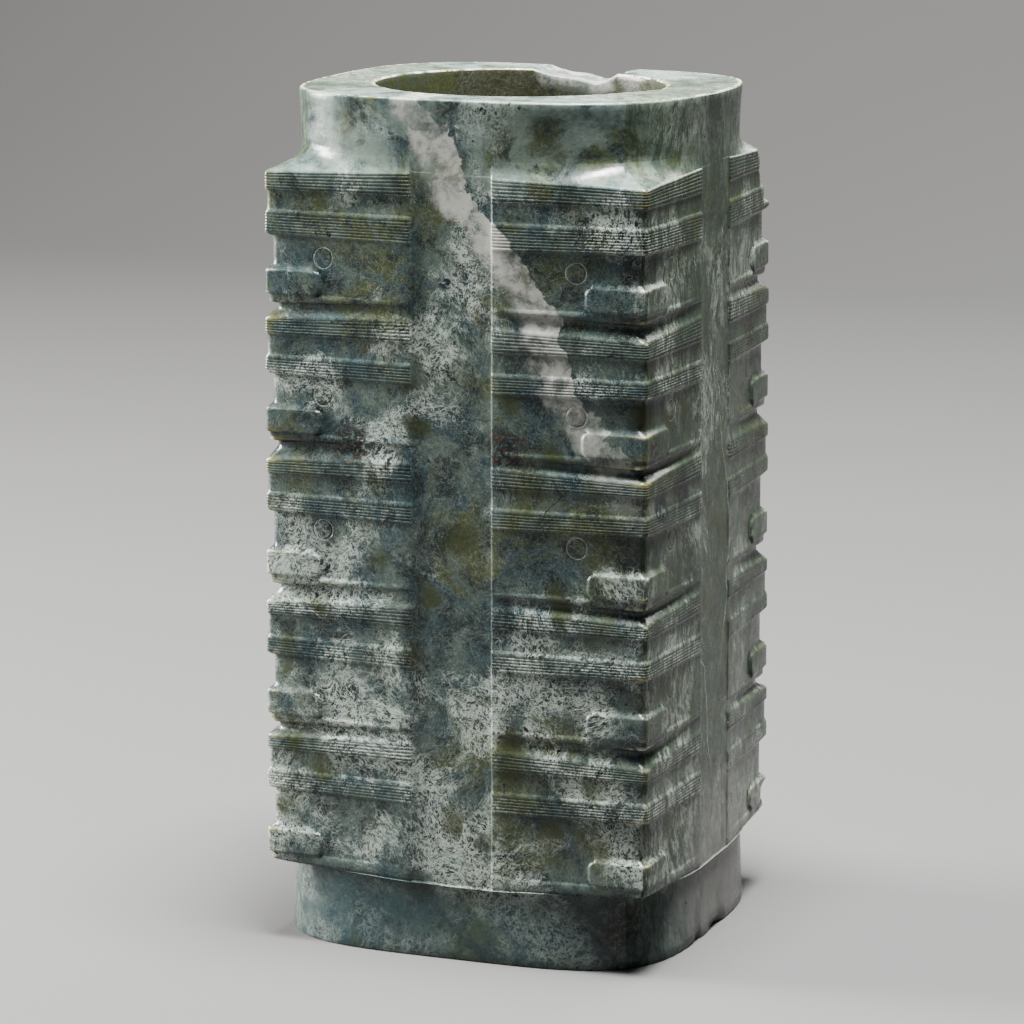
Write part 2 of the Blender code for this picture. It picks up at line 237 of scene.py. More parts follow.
def bar_levels(tier):
    """Levels of the upper and lower edges of a tier's nose bar."""
    last = tier == TIER_COUNT - 1
    under = tier_top(tier + 1) + (CORNER_DROP if last else -CORNER_DROP)
    chin_low = under if last else under + SHOULDER_HEIGHT + GROOVE_HEIGHT
    return chin_low + CHIN_HEIGHT + BAR_HEIGHT, chin_low + CHIN_HEIGHT


def face_knots(tier):
    """Below the band: the eye field, the nose bar, the chin and, above the next tier, the groove."""
    low = tier_top(tier) - BAND_HEIGHTS[tier]
    last = tier == TIER_COUNT - 1
    under = tier_top(tier + 1)
    under_corner = under + (CORNER_DROP if last else -CORNER_DROP)
    bar_top, bar_low = bar_levels(tier)
    eye = (EYE_DEPTH, EYE_DEPTH_BY_CHANNEL, EYE_DEPTH)
    bar = (BAR_DEPTH, EYE_DEPTH_BY_CHANNEL, EYE_DEPTH)
    chin = (CHIN_DEPTH, CHIN_DEPTH_BY_CHANNEL, CHIN_DEPTH)
    knots = [
        (tier, low + CORNER_LIFT - STEP_HEIGHT, low - STEP_HEIGHT, *eye),
        (tier, bar_top + BAR_SLOPE, bar_top + BAR_SLOPE, *eye),
        (tier, bar_top, bar_top, *bar),
        (tier, bar_low, bar_low, *bar),
        (tier, bar_low - STEP_HEIGHT, bar_low - STEP_HEIGHT, *chin),
    ]
    if last:
        worn = (CHIN_DEPTH + EDGE_WEAR, CHIN_DEPTH_BY_CHANNEL + EDGE_WEAR, CHIN_DEPTH + EDGE_WEAR)
        knots.append((tier, under_corner + EDGE_WEAR, under + EDGE_WEAR, *chin))
        knots.append((tier, under_corner, under, *worn))
        return knots
    groove = (GROOVE_DEPTH, GROOVE_DEPTH_BY_CHANNEL, GROOVE_DEPTH)
    foot = SHOULDER_HEIGHT
    head = SHOULDER_HEIGHT + GROOVE_HEIGHT
    knots.append((tier, under_corner + head, under + head, *chin))
    knots.append((tier, under_corner + head - STEP_HEIGHT, under + head - STEP_HEIGHT, *groove))
    knots.append((tier, under_corner + foot, under + foot, *groove))
    return knots


class Curves:
    """The carving as curves against the mean level of a row.

    Levels run straight from knot to knot.  Depths do too, and are then blurred by a narrow bell curve, which
    rounds every edge.  How proud a level stands is a wide blur of its depth less the depth itself.
    """

    def __init__(self, softness):
        knots = np.array([knot for tier in range(TIER_COUNT) for knot in band_knots(tier) + face_knots(tier)])
        mean = (knots[:, 1] + knots[:, 2]) / 2
        self.top, self.low = mean[0], mean[-1]
        self.fine = np.arange(self.top, self.low - FINE_STEP, -FINE_STEP)
        self.table = {}
        for name, column in (("tier", 0), ("z_corner", 1), ("z_edge", 2)):
            self.table[name] = np.interp(-self.fine, -mean, knots[:, column])
        for name, column in (("corner", 3), ("edge", 4), ("outside", 5)):
            depth = np.interp(-self.fine, -mean, knots[:, column])
            self.table[name] = self.blurred(depth, softness)
            self.table[name + "_proud"] = self.blurred(depth, PROUD_BLUR) - self.table[name]
        inset = np.full(len(self.fine), BAR_END_ROUND)
        for tier in range(TIER_COUNT):
            bar_top, bar_low = bar_levels(tier)
            inside = np.clip(np.minimum(bar_top - self.fine, self.fine - bar_low), 0.0, BAR_END_ROUND)
            arc = np.sqrt(BAR_END_ROUND ** 2 - (BAR_END_ROUND - inside) ** 2)
            inset = np.minimum(inset, BAR_END_ROUND - arc)
        self.table["inset"] = inset

    def blurred(self, values, width):
        """Weighted mean of each value's neighbours, with weights from a bell curve of the given width."""
        reach = int(3 * width / FINE_STEP)
        offsets = np.arange(-reach, reach + 1) * FINE_STEP
        weights = np.exp(-0.5 * (offsets / width) ** 2)
        padded = np.pad(values, reach, mode="edge")
        return np.convolve(padded, weights / weights.sum(), mode="valid")

    def at(self, name, level):
        """A curve's value at any mean level."""
        return np.interp(-np.asarray(level), -self.fine, self.table[name])


def packed_levels(curves, start, stop, count, packing=9.0):
    """Levels from start down to stop, closer together by the square root of the depth's second slope."""
    level = np.linspace(start, stop, 600)
    bend = np.zeros(len(level))
    for name in ("corner", "outside", "inset"):
        bend += np.abs(np.gradient(np.gradient(curves.at(name, level), level), level))
    weight = 1 + packing * np.sqrt(bend / bend.max())
    steps = np.concatenate(([0.0], np.cumsum((weight[1:] + weight[:-1]) / 2)))
    return np.interp(np.linspace(0, steps[-1], count + 2)[1:-1], steps, level)


def block_levels(curves, shape):
    """Mean levels of the rows of the blocks, and how deep into a fine line each row lies.

    Each bundle holds as many lines as fit at the given pitch, and a line takes three rows: its two lips and
    its bottom.  All other rows are packed by the bend of the depth.
    """
    levels = [[curves.top]]
    marks = [[0.0]]

    def plain(start, stop, count):
        made = packed_levels(curves, start, stop, count)
        levels.append(made)
        marks.append(np.zeros(len(made)))

    def lines(start, stop, last):
        count = max(1, round((start - stop) / shape.line_pitch))
        centres = start - (start - stop) * (np.arange(count) + 0.5) / count
        half = shape.line_width / 2
        levels.append((centres[:, None] + np.array((half, 0.0, -half))).ravel())
        depths = np.tile((0.0, 1.0, 0.0), count)
        depths[-2] = last
        marks.append(depths)

    for tier in range(TIER_COUNT):
        top = tier_top(tier)
        low = top - BAND_HEIGHTS[tier]
        upper = top - BUNDLES[tier][0]
        lower = low + BUNDLES[tier][1]
        crest = top - CORNER_DROP / 2 - EDGE_WEAR
        if tier == 0:
            plain(curves.top, crest, 2)
        lines(crest, upper, LAST_LINES[0])
        plain(upper, lower, STRIP_ROWS)
        lines(lower - LOWER_LIP, low + CORNER_LIFT / 2 + STEP_HEIGHT, LAST_LINES[1])
        under = tier_top(tier + 1)
        last = tier == TIER_COUNT - 1
        stop = under + CORNER_DROP / 2 if last else under - CORNER_DROP / 2 - EDGE_WEAR
        plain(low + CORNER_LIFT / 2 + 0.0001, stop, FIELD_ROWS)
    levels.append([curves.low])
    marks.append([0.0])
    return np.concatenate(levels), np.concatenate(marks)


def outline_columns():
    """The columns of points round the stone, anticlockwise from the middle of the +X face.

    Each has its quarter, the axis that its face looks along, what its place is measured from, and its place.
    """
    face = [(ON_CHANNEL, place) for place in CHANNEL_PLACES]
    face += [(ON_SPAN, share) for share in SPAN_SHARES]
    face += [(ON_CORNER, place) for place in CORNER_PLACES]
    arc = [(0, ON_ARC, step / (ARC_COUNT - 1)) for step in range(ARC_COUNT)]
    columns = []
    for quarter, (sign_x, sign_y) in enumerate(QUARTERS):
        own = [(0, kind, place) for kind, place in face] + arc
        own += [(1, kind, place) for kind, place in reversed(face)]
        if sign_x * sign_y > 0:
            own.insert(0, (0, ON_CHANNEL, 0.0))
        else:
            own.append((1, ON_CHANNEL, 0.0))
            own.reverse()
        columns += [(quarter, *column) for column in own]
    table = np.array(columns)
    return table[:, 0].astype(int), table[:, 1].astype(int), table[:, 2].astype(int), table[:, 3]


def hand_slip(quarter, tier):
    """Shift of a corner's levels: a slow sine along the tiers, opposite on neighbouring corners."""
    return HAND_SLIP * np.sin(1.5 * tier + np.pi * quarter + 0.375)


def bar_end(curves, quarter, axis, level):
    """Reach of the nose bar: its mean reach, a small swing by corner and tier, less its rounded end's inset.

    The second tier's bar at the front right corner runs further along the front.
    """
    tier = curves.at("tier", level)
    swing = 0.0003 * np.sin(2.1 * tier + 1.7 * quarter + 2.9 * axis)
    long_bar = (quarter == FRONT_RIGHT) * (axis == 1) * smooth(1.0 - np.abs(tier - 1.0))
    return BAR_REACH + swing + 0.0015 * long_bar - curves.at("inset", level)


def face_points(curves, quarter, axis, reach, level, cut):
    """Points of a face: reach along it from the corner, and the mean level.

    Out from the axis, a point lies at the corner's half size, plus a crown that grows to the channel, less
    the carved depth.  The channel's wall is a smooth step between that and the channel's floor.
    """
    half_x, half_y = half_sizes(level)
    own = np.where(axis == 0, half_x, half_y)
    other = np.where(axis == 0, half_y, half_x)
    length = other - HALF_CHANNEL
    share = np.clip(reach / length, 0.0, 1.0)
    on_bar = smooth((bar_end(curves, quarter, axis, level) - reach) / BAR_END_SLOPE + 0.5)
    by_channel = curves.at("edge", level)
    inner = mixed(curves.at("corner", level), by_channel, share)
    outer = mixed(curves.at("outside", level), by_channel, share)
    depth = mixed(outer, inner, on_bar) + cut
    on_block = smooth((other - reach - HALF_CHANNEL) / (2 * CHANNEL_WALL) + 0.5)
    floor = own + FACE_CROWN - np.where(axis == 0, CHANNEL_DEPTHS[0], CHANNEL_DEPTHS[1])
    out = mixed(floor, own + FACE_CROWN * share - depth, on_block)
    along = other - reach
    x = np.where(axis == 0, out, along) * QUARTERS[quarter, 0] + BODY_SHIFT
    y = np.where(axis == 0, along, out) * QUARTERS[quarter, 1]
    z_corner = curves.at("z_corner", level)
    z = mixed(z_corner, curves.at("z_edge", level), share)
    z = z + hand_slip(quarter, curves.at("tier", level))
    proud = mixed(curves.at("outside_proud", level), curves.at("corner_proud", level), on_bar)
    proud = mixed(proud, curves.at("edge_proud", level), share) * on_block
    return np.stack(np.broadcast_arrays(x, y, z), axis=-1), proud, on_block


def corner_points(curves, quarter, turn, level, cut):
    """Points of a corner: a quarter circle whose radius grows with the carved depth."""
    half_x, half_y = half_sizes(level)
    depth = curves.at("corner", level)
    radius = CORNER_ROUND + ROUND_GAIN * depth
    pull = radius - cut
    x = half_x - depth - radius + pull * np.cos(turn)
    y = half_y - depth - radius + pull * np.sin(turn)
    z = curves.at("z_corner", level) + hand_slip(quarter, curves.at("tier", level))
    spread = np.broadcast_arrays(x * QUARTERS[quarter, 0] + BODY_SHIFT, y * QUARTERS[quarter, 1], z)
    return np.stack(spread, axis=-1), curves.at("corner_proud", level)


def column_reaches(curves, columns, levels):
    """Reach of each column at each level.

    Columns near the bar's end shift with it, fully within a millimetre of it and not at all far from it.
    """
    quarter, axis, kind, place = columns
    half_x, half_y = half_sizes(levels)
    other = np.where(axis == 0, half_y, half_x)
    shift = bar_end(curves, quarter, axis, levels) - BAR_REACH
    follow = np.interp(CORNER_PLACES[::-1], (0.0085, 0.0147, 0.0165, 0.0215), (0.0, 1.0, 1.0, 0.0))
    on_corner = place + np.interp(place, CORNER_PLACES[::-1], follow) * shift
    near = CORNER_PLACES[0] + follow[-1] * shift
    far = other - CHANNEL_PLACES[-1]
    on_span = mixed(far, near, place)
    choices = [kind == ON_CHANNEL, kind == ON_SPAN]
    return np.select([np.broadcast_to(c, on_span.shape) for c in choices], [other - place, on_span], on_corner)


def line_cut(shape, quarter, points, mark):
    """Depth of the fine lines: the set depth, uneven along each line and worn away in spots."""
    run = points * np.array((1.0, 1.0, 6.0))
    uneven = 0.80 + 0.35 * wander(run, 0.0060, 11)
    worn = smooth(1.5 + 1.5 * wander(points, 0.0110, 12))
    return shape.line_depth * mark * np.clip(uneven, 0.2, 1.2) * (0.25 + 0.75 * worn)


def hand_ground(shape, points):
    """How far the hand-ground faces lie inside flat: a slow wander and a quarter as much of a quick one."""
    slow = 0.5 + 0.5 * wander(points, 0.021, 3)
    return shape.surface_wander * (slow + 0.125 + 0.125 * wander(points, 0.0062, 4))


def rippled(points, on_block):
    """Lift and lower the points of the blocks a little along every line and edge, as a hand-held tool does."""
    points[..., 2] += 0.00009 * wander(points * np.array((1.0, 1.0, 3.0)), 0.0075, 6) * on_block
    return points


def block_grid(curves, shape, columns, levels, marks):
    """The blocks' carved skin with its fine lines, and how proud each point stands."""
    quarter, axis, kind, place = (column[None, :] for column in columns)
    level = levels[:, None]
    reach = column_reaches(curves, (quarter, axis, kind, place), level)
    turn = place * np.pi / 2
    first, _, on_block = face_points(curves, quarter, axis, reach, level, 0.0)
    cut = line_cut(shape, quarter, first, marks[:, None]) + hand_ground(shape, first)
    faces, proud, on_block = face_points(curves, quarter, axis, reach, level, cut)
    corners, corner_proud = corner_points(curves, quarter, turn, level, cut)
    on_arc = kind == ON_ARC
    points = np.where(on_arc[..., None], corners, faces)
    proud = np.where(on_arc, corner_proud + 0.0002, proud)
    rows = np.broadcast_to(marks[:, None], proud.shape)
    return rippled(points, on_block), proud, rows * on_block


def eye_circles(curves, shape, quarter, axis, tier, centre, side):
    """Points of an eye's patch in circles round its centre, and how deep each lies in the ring's groove.

    A circle runs in the plane of reach and level.  The groove's depth swings along the ring by sines, and on
    the fourth tier only its lower half is left.
    """
    ring = EYE_RADIUS + np.linspace(-1, 1, 5) * EYE_LINE
    radii = np.concatenate(((0.45 * EYE_RADIUS, 0.8 * EYE_RADIUS), ring, (EYE_ROOM,)))
    depth = np.array((0.0, 0.0, 0.0, 0.75, 1.0, 0.75, 0.0, 0.0))
    turn = np.arange(EYE_POINTS) * 2 * np.pi / EYE_POINTS
    phase = 1.9 * quarter + 2.3 * axis + 1.1 * tier
    oval = 1 + 0.02 * np.sin(2 * turn + phase) * (radii[:, None] < EYE_ROOM)
    across = radii[:, None] * np.cos(turn) * oval
    up = radii[:, None] * np.sin(turn) * oval
    swing = 0.72 + 0.28 * np.sin(2 * turn + phase) + 0.15 * np.sin(5 * turn + 2 * phase)
    if tier == 3:
        swing = swing * smooth(0.4 - 1.2 * np.sin(turn))
    mark = depth[:, None] * np.clip(swing, 0.1, 1.2)
    across = np.concatenate(([0.0], across.ravel()))
    up = np.concatenate(([0.0], up.ravel()))
    mark = np.concatenate(([0.0], mark.ravel()))
    reach, level = centre[0] + side * across, centre[1] + up
    first, _, on_block = face_points(curves, quarter, axis, reach, level, 0.0)
    cut = hand_ground(shape, first) + EYE_CUT * mark
    points, proud, on_block = face_points(curves, quarter, axis, reach, level, cut)
    return rippled(points, on_block), proud, mark


def circle_faces(first, circles):
    """Triangles round the centre and the four-cornered faces between circles, wound anticlockwise."""
    turn = np.arange(EYE_POINTS)
    following = (turn + 1) % EYE_POINTS
    inner = first + 1
    fan = np.stack((np.full(EYE_POINTS, first), inner + turn, inner + following), axis=-1)
    start = inner + EYE_POINTS * np.arange(circles - 1)[:, None]
    beyond = start + EYE_POINTS
    rings = np.stack((start + turn, beyond + turn, beyond + following, start + following), axis=-1)
    return fan, rings.reshape(-1, 4)


def stitched(inner, inner_turn, outer, outer_turn):
    """Triangles between two loops, taken in order of angle; each closes one with the two points before it.

    An outer point takes its turn halfway from the outer point before it, so that no triangle reaches far.
    """
    before = np.roll(outer_turn, 1)
    before[0] -= 2 * np.pi
    halfway = ((before + outer_turn) / 2) % (2 * np.pi)
    order = np.argsort(np.concatenate((inner_turn, halfway)), kind="stable")
    is_outer = order >= len(inner)
    outer_order = outer[order[is_outer] - len(inner)]
    inner_order = inner[order[~is_outer]]
    inner_seen = np.cumsum(~is_outer)
    outer_seen = np.cumsum(is_outer)
    inner_last = inner_order[(inner_seen - ~is_outer - 1) % len(inner)]
    outer_last = outer_order[(outer_seen - is_outer - 1) % len(outer)]
    newest = np.where(is_outer, outer_order[outer_seen - 1], inner_order[inner_seen - 1])
    return np.stack((inner_last, outer_last, newest), axis=-1)


def eye_patch(curves, shape, columns, levels, start, first, eye):
    """One eye: the cells that its patch replaces, its points and their numbers, and its faces."""
    quarter, axis, tier = eye
    centre = (EYE_REACHES[quarter], tier_top(tier) - BAND_HEIGHTS[tier] - EYE_DROPS[tier])
    on_face = np.isin(columns[2], (ON_SPAN, ON_CORNER))
    own = (columns[0] == quarter) & (columns[1] == axis) & on_face
    reach = column_reaches(curves, columns, np.full(len(own), centre[1]))
    within = np.flatnonzero(own & (np.abs(reach - centre[0]) < EYE_HOLE * EYE_ROOM))
    left, right = within[0] - 1, within[-1] + 1
    side = 1.0 if reach[right] > reach[left] else -1.0
    within = np.flatnonzero(np.abs(levels - centre[1]) < EYE_HOLE * EYE_ROOM)
    top, low = within[0] - 1, within[-1] + 1
    down, over = np.arange(top, low + 1), np.arange(left + 1, right + 1)
    back, home = np.arange(low - 1, top - 1, -1), np.arange(right - 1, left, -1)
    rows = np.concatenate((down, np.full(len(over), low), back, np.full(len(home), top)))
    across = np.concatenate((np.full(len(down), left), over, np.full(len(back), right), home))
    picked = tuple(column[across] for column in columns)
    border_reach = column_reaches(curves, picked, levels[rows])
    turn = np.arctan2(levels[rows] - centre[1], side * (border_reach - centre[0])) % (2 * np.pi)
    order = np.argsort(turn)
    border = ((start + rows) * len(own) + across)[order]
    points, proud, mark = eye_circles(curves, shape, quarter, axis, tier, centre, side)
    circles = (len(points) - 1) // EYE_POINTS
    fan, rings = circle_faces(first, circles)
    last = first + 1 + (circles - 1) * EYE_POINTS + np.arange(EYE_POINTS)
    seam = stitched(last, np.arange(EYE_POINTS) * 2 * np.pi / EYE_POINTS, border, turn[order])
    cells = (slice(start + top, start + low), slice(left, right))
    return cells, points, proud, mark, np.concatenate((fan, seam)), rings


def plain_directions(columns, level):
    """Unit direction of each column from the axis, on the uncarved block at one level."""
    quarter, axis, kind, place = columns
    half_x, half_y = half_sizes(level)
    own = np.where(axis == 0, half_x, half_y)
    other = np.where(axis == 0, half_y, half_x)
    length = other - HALF_CHANNEL
    span = mixed(other - CHANNEL_PLACES[-1], CORNER_PLACES[0], place)
    reach = np.select([kind == ON_CHANNEL, kind == ON_SPAN], [other - place, span], place)
    share = np.clip(reach / length, 0.0, 1.0)
    out = own + FACE_CROWN * share
    turn = place * np.pi / 2
    on_arc = kind == ON_ARC
    arc_x = half_x - CORNER_ROUND * (1 - np.cos(turn))
    arc_y = half_y - CORNER_ROUND * (1 - np.sin(turn))
    x = np.where(on_arc, arc_x, np.where(axis == 0, out, other - reach))
    y = np.where(on_arc, arc_y, np.where(axis == 0, other - reach, out))
    flat = np.stack((x * QUARTERS[quarter, 0], y * QUARTERS[quarter, 1]), axis=-1)
    return flat / np.linalg.norm(flat, axis=-1, keepdims=True)


def collar_ring(directions, level, flare, squareness, shift):
    """A ring of a collar: each direction scaled to |x/a|^n + |y/b|^n = 1."""
    half_x, half_y = half_sizes(level)
    a = half_x + FACE_CROWN - CHANNEL_DEPTHS[0] + flare
    b = half_y + FACE_CROWN - CHANNEL_DEPTHS[1] + flare
    reach = (np.abs(directions[:, 0] / a) ** squareness + np.abs(directions[:, 1] / b) ** squareness)
    ring = directions / reach[:, None] ** (1 / squareness)
    return ring + np.array((shift, 0.0))


def on_block_share(columns):
    """1 on the blocks and 0 in the channels, with the channel wall's smooth step between."""
    along = np.where(columns[2] == ON_CHANNEL, columns[3], 1.0)
    return smooth((along - HALF_CHANNEL) / (2 * CHANNEL_WALL) + 0.5)


def top_collar_grid(columns, edge):
    """The upper collar, from the rim's rounded edge down its flared wall and out over the blocks' shoulder.

    The shoulder goes from the collar to the blocks' edge by a share g.  Its height falls evenly with g, and
    close to the collar it climbs by a power of what is left, as the hollow of a worn inside corner.
    """
    directions = plain_directions(columns, BLOCK_TOP)
    base = BLOCK_TOP + TOP_SHOULDER_RISE
    rings = []
    for turn in np.linspace(0.0, np.pi / 2, 5):
        flare = RIM_FLARE - END_EDGE * (1 - np.sin(turn))
        rings.append((HEIGHT - END_EDGE * (1 - np.cos(turn)), flare))
    wall_top = HEIGHT - END_EDGE
    wall_low = base + TOP_HOLLOW
    middle = base + 0.6 * (HEIGHT - base)
    for z in np.linspace(wall_top, wall_low, 10)[1:]:
        rings.append((z, np.interp(z, (wall_low, middle, wall_top), (0.0, 0.3 * RIM_FLARE, RIM_FLARE))))
    grid = []
    for z, flare in rings:
        ring = collar_ring(directions, BLOCK_TOP, flare, TOP_SQUARENESS, BODY_SHIFT)
        grid.append(np.column_stack((ring, np.full(len(ring), z))))
    inner = collar_ring(directions, BLOCK_TOP, 0.0, TOP_SQUARENESS, BODY_SHIFT)
    on_block = on_block_share(columns)
    for g in (0.015, 0.04, 0.075, 0.12, 0.18, 0.27, 0.42, 0.62, 0.82, 0.94):
        even = edge[:, 2] + (base - edge[:, 2]) * min((1 - g) / 0.78, 1.0)
        hollow = TOP_HOLLOW * max(1 - g / 0.45, 0.0) ** 2.6
        flat = mixed(inner, edge[:, :2], (g * on_block)[:, None])
        grid.append(np.column_stack((flat, even + hollow)))
    return np.array(grid)


def foot_grid(columns, edge):
    """The lower collar: in under the blocks, down a small hollow, and down the wall to a rounded edge."""
    directions = plain_directions(columns, BLOCK_FOOT)
    inner = collar_ring(directions, BLOCK_FOOT, FOOT_HOLLOW, FOOT_SQUARENESS, 0.0)
    on_block = on_block_share(columns)
    grid = []
    for g in (0.8, 0.45, 0.15, 0.0):
        flat = mixed(inner, edge[:, :2], (g * on_block)[:, None])
        grid.append(np.column_stack((flat, edge[:, 2] - 0.0001 * (1 - g))))

    def ring(flare, z):
        flat = collar_ring(directions, BLOCK_FOOT, flare, FOOT_SQUARENESS, 0.0)
        grid.append(np.column_stack((flat, np.broadcast_to(z, len(flat)))))

    for turn in np.linspace(0.0, np.pi / 2, 5)[1:]:
        ring(FOOT_HOLLOW * (1 - np.sin(turn)), edge[:, 2] - 0.0001 - FOOT_HOLLOW * (1 - np.cos(turn)))
    top = grid[-1][:, 2]
    for share in np.linspace(0.0, 1.0, 9)[1:]:
        flare = np.interp(share, (0.0, 0.7, 1.0), (0.0, 0.7 * FOOT_FLARE, FOOT_FLARE))
        ring(flare, mixed(top, END_EDGE, share))
    for turn in np.linspace(0.0, np.pi / 2, 4)[1:]:
        ring(FOOT_FLARE - END_EDGE * (1 - np.cos(turn)), END_EDGE * (1 - np.sin(turn)))
    return np.array(grid)


def bore_grid(angles):
    """The bore from the foot up: two drillings that narrow to the middle by a power of height, and a ledge."""
    middle = HEIGHT / 2
    turns = np.linspace(0.0, np.pi / 2, 4)
    levels = np.concatenate((np.linspace(0.004, middle - 0.012, 5), (middle - 0.004, middle - 0.0002),
                             (middle + 0.0004, middle + 0.004), np.linspace(middle + 0.016, HEIGHT - 0.024, 4),
                             np.linspace(HEIGHT - 0.017, HEIGHT - 0.0015, 6)))
    share = np.abs(levels - middle) / middle
    radius = BORE_MIDDLE_RADIUS + (BORE_MOUTH_RADIUS - BORE_MIDDLE_RADIUS) * share ** 1.5
    radius = radius + BORE_LEDGE * np.clip(1 - share / 0.33, 0.0, 1.0) * (levels < middle)
    edge = BORE_EDGE * (1 - np.cos(turns))
    mouth = BORE_MOUTH_RADIUS + BORE_EDGE * (1 - np.sin(turns))
    z = np.concatenate((edge, levels, HEIGHT - edge[::-1]))
    radius = np.concatenate((mouth, radius, mouth[::-1]))
    ring = np.column_stack((np.cos(angles), np.sin(angles)))
    flat = radius[:, None, None] * ring[None, :, :]
    height = np.broadcast_to(z[:, None], flat.shape[:2])
    return np.concatenate((flat, height[..., None]), axis=-1)


def scooped(points, centre, size, turn, direction):
    """Push the points inside an egg-shaped hollow out to its skin along a direction, and mark them.

    In the hollow's own space it is a unit sphere, so the way out is the root of a square equation.
    """
    own = points - np.array(centre)
    spin = np.array(((math.cos(turn), math.sin(turn)), (-math.sin(turn), math.cos(turn))))
    way = np.broadcast_to(direction, own.shape)

    def unit(vectors):
        flat = vectors[..., :2] @ spin.T
        return np.concatenate((flat, vectors[..., 2:]), axis=-1) / (np.array(size) / 2)

    place, step = unit(own), unit(way)
    along = (place * step).sum(-1)
    square = (step * step).sum(-1)
    inside = (place * place).sum(-1) - 1
    root = np.sqrt(np.maximum(along ** 2 - inside * square, 0.0))
    move = np.where(inside < 0, (root - along) / square, 0.0)
    return points + way * move[..., None], smooth(move / 0.0004)


def side_scars(points):
    """The losses on the outside: the sheared corner, a worn corner and two nicks in the foot."""
    half_x, half_y = half_sizes(BLOCK_TOP)
    foot_x, foot_y = half_sizes(BLOCK_FOOT)
    corner_x = half_x + BODY_SHIFT
    flat = points[..., :2] / np.linalg.norm(points[..., :2], axis=-1, keepdims=True)
    inward = np.concatenate((-flat, np.zeros(flat.shape[:-1] + (1,))), axis=-1)
    diagonal = math.radians(45)
    scars = (
        ((corner_x + 0.0025, half_y + 0.0025, BLOCK_TOP + 0.0070), (0.026, 0.040, 0.048), diagonal),
        ((foot_x + 0.0022, foot_y + 0.0022, BLOCK_FOOT + 0.0050), (0.011, 0.013, 0.012), diagonal),
        ((foot_x + FACE_CROWN + 0.0012, 0.0030, -0.0010), (0.0054, 0.0130, 0.0064), math.radians(6)),
        ((foot_x + FACE_CROWN + 0.0006, -0.0120, -0.0012), (0.0044, 0.0060, 0.0050), math.radians(-8)),
    )
    fresh = np.zeros(points.shape[:-1])
    for centre, size, turn in scars:
        points, broken = scooped(points, centre, size, turn, inward)
        fresh = np.maximum(fresh, broken)
    return points, fresh


def rim_drop(flat):
    """How far the rim has lost height at each place: wear at the back right, and the broken back edge.

    The break is two bites, a long shallow one and a short deep one at its right.  Each is the part of an
    egg's skin that hangs below the rim.
    """
    x, y = flat[..., 0], flat[..., 1]
    facing = (x + y) / (np.abs(x) + np.abs(y))
    drop = RIM_DIP * np.maximum(facing, 0.0) ** 2
    wall = (BORE_MOUTH_RADIUS + CORNER_DEPTH / 2) / 2
    behind = smooth((y - 0.020) / 0.010)
    bite = 0.0
    for middle, half_width, half_depth, sink, above in RIM_BITES:
        inside = 1 - ((x - middle) / half_width) ** 2 - ((y - wall) / half_depth) ** 2
        bite = np.maximum(bite, sink * np.sqrt(np.maximum(inside, 0.0)) - above)
    bite = bite * behind
    return drop + bite, smooth(bite / 0.0003)


def stone_grid(curves, shape):
    """The whole skin as one grid that is closed both ways, with three numbers for each of its points."""
    columns = outline_columns()
    levels, marks = block_levels(curves, shape)
    blocks, proud, lines = block_grid(curves, shape, columns, levels, marks)
    upper = top_collar_grid(columns, blocks[0])
    lower = foot_grid(columns, blocks[-1])
    outside = np.concatenate((upper, blocks, lower))
    outside, fresh = side_scars(outside)
    bore = bore_grid(np.arctan2(outside[-1, :, 1], outside[-1, :, 0]))
    under = np.array([mixed(outside[-1], bore[0], share) for share in (0.1, 0.4, 0.75)])
    over = np.array([mixed(bore[-1], outside[0], share) for share in (0.08, 0.22, 0.4, 0.6, 0.78, 0.92)])
    points = np.concatenate((outside, under, bore, over))
    drop, broken = rim_drop(points[..., :2])
    near_rim = np.clip((points[..., 2] - (HEIGHT - RIM_REACH)) / RIM_REACH, 0.0, 1.0)
    points[..., 2] -= drop * near_rim
    blank = np.zeros(points.shape[:-1])
    start = len(upper)
    edge, line, chipped = blank.copy(), blank.copy(), blank.copy()
    edge[start:start + len(blocks)] = proud
    line[start:start + len(blocks)] = lines
    chipped[:len(outside)] = fresh
    chipped = np.maximum(chipped, broken * (near_rim > 0.85))
    # The rim's rows and the bore's upper mouth are marked proud, so they take the ochre painted glow and the
    # pale edges that serve as painted highlights.
    rim = np.exp(-np.arange(len(upper)) / 2.5)
    edge[:len(upper)] += EDGE_UNIT * rim[:, None]
    edge[-len(over) - 3:-len(over)] += 0.0005
    numbers = {"edge": edge / EDGE_UNIT, "line": line, "fresh": chipped}
    return points, numbers, (columns, levels, start)


def grid_faces(rows, columns):
    """Four corners of every cell of a grid that is closed both ways, wound so that they face outwards."""
    row, column = np.meshgrid(np.arange(rows), np.arange(columns), indexing="ij")
    below = (row + 1) % rows
    beside = (column + 1) % columns
    here, under = row * columns, below * columns
    return np.stack((here + column, under + column, under + beside, here + beside), axis=-1)


def make_mesh(name, points, faces, numbers):
    """Put points, faces and named numbers into a mesh that is shaded smooth."""
    mesh = bpy.data.meshes.new(name)
    mesh.from_pydata(points, [], faces)
    for label, values in numbers.items():
        layer = mesh.attributes.new(label, "FLOAT", "POINT")
        layer.data.foreach_set("value", np.ascontiguousarray(values, dtype=np.float32))
    mesh.shade_smooth()
    mesh.validate()
    return mesh


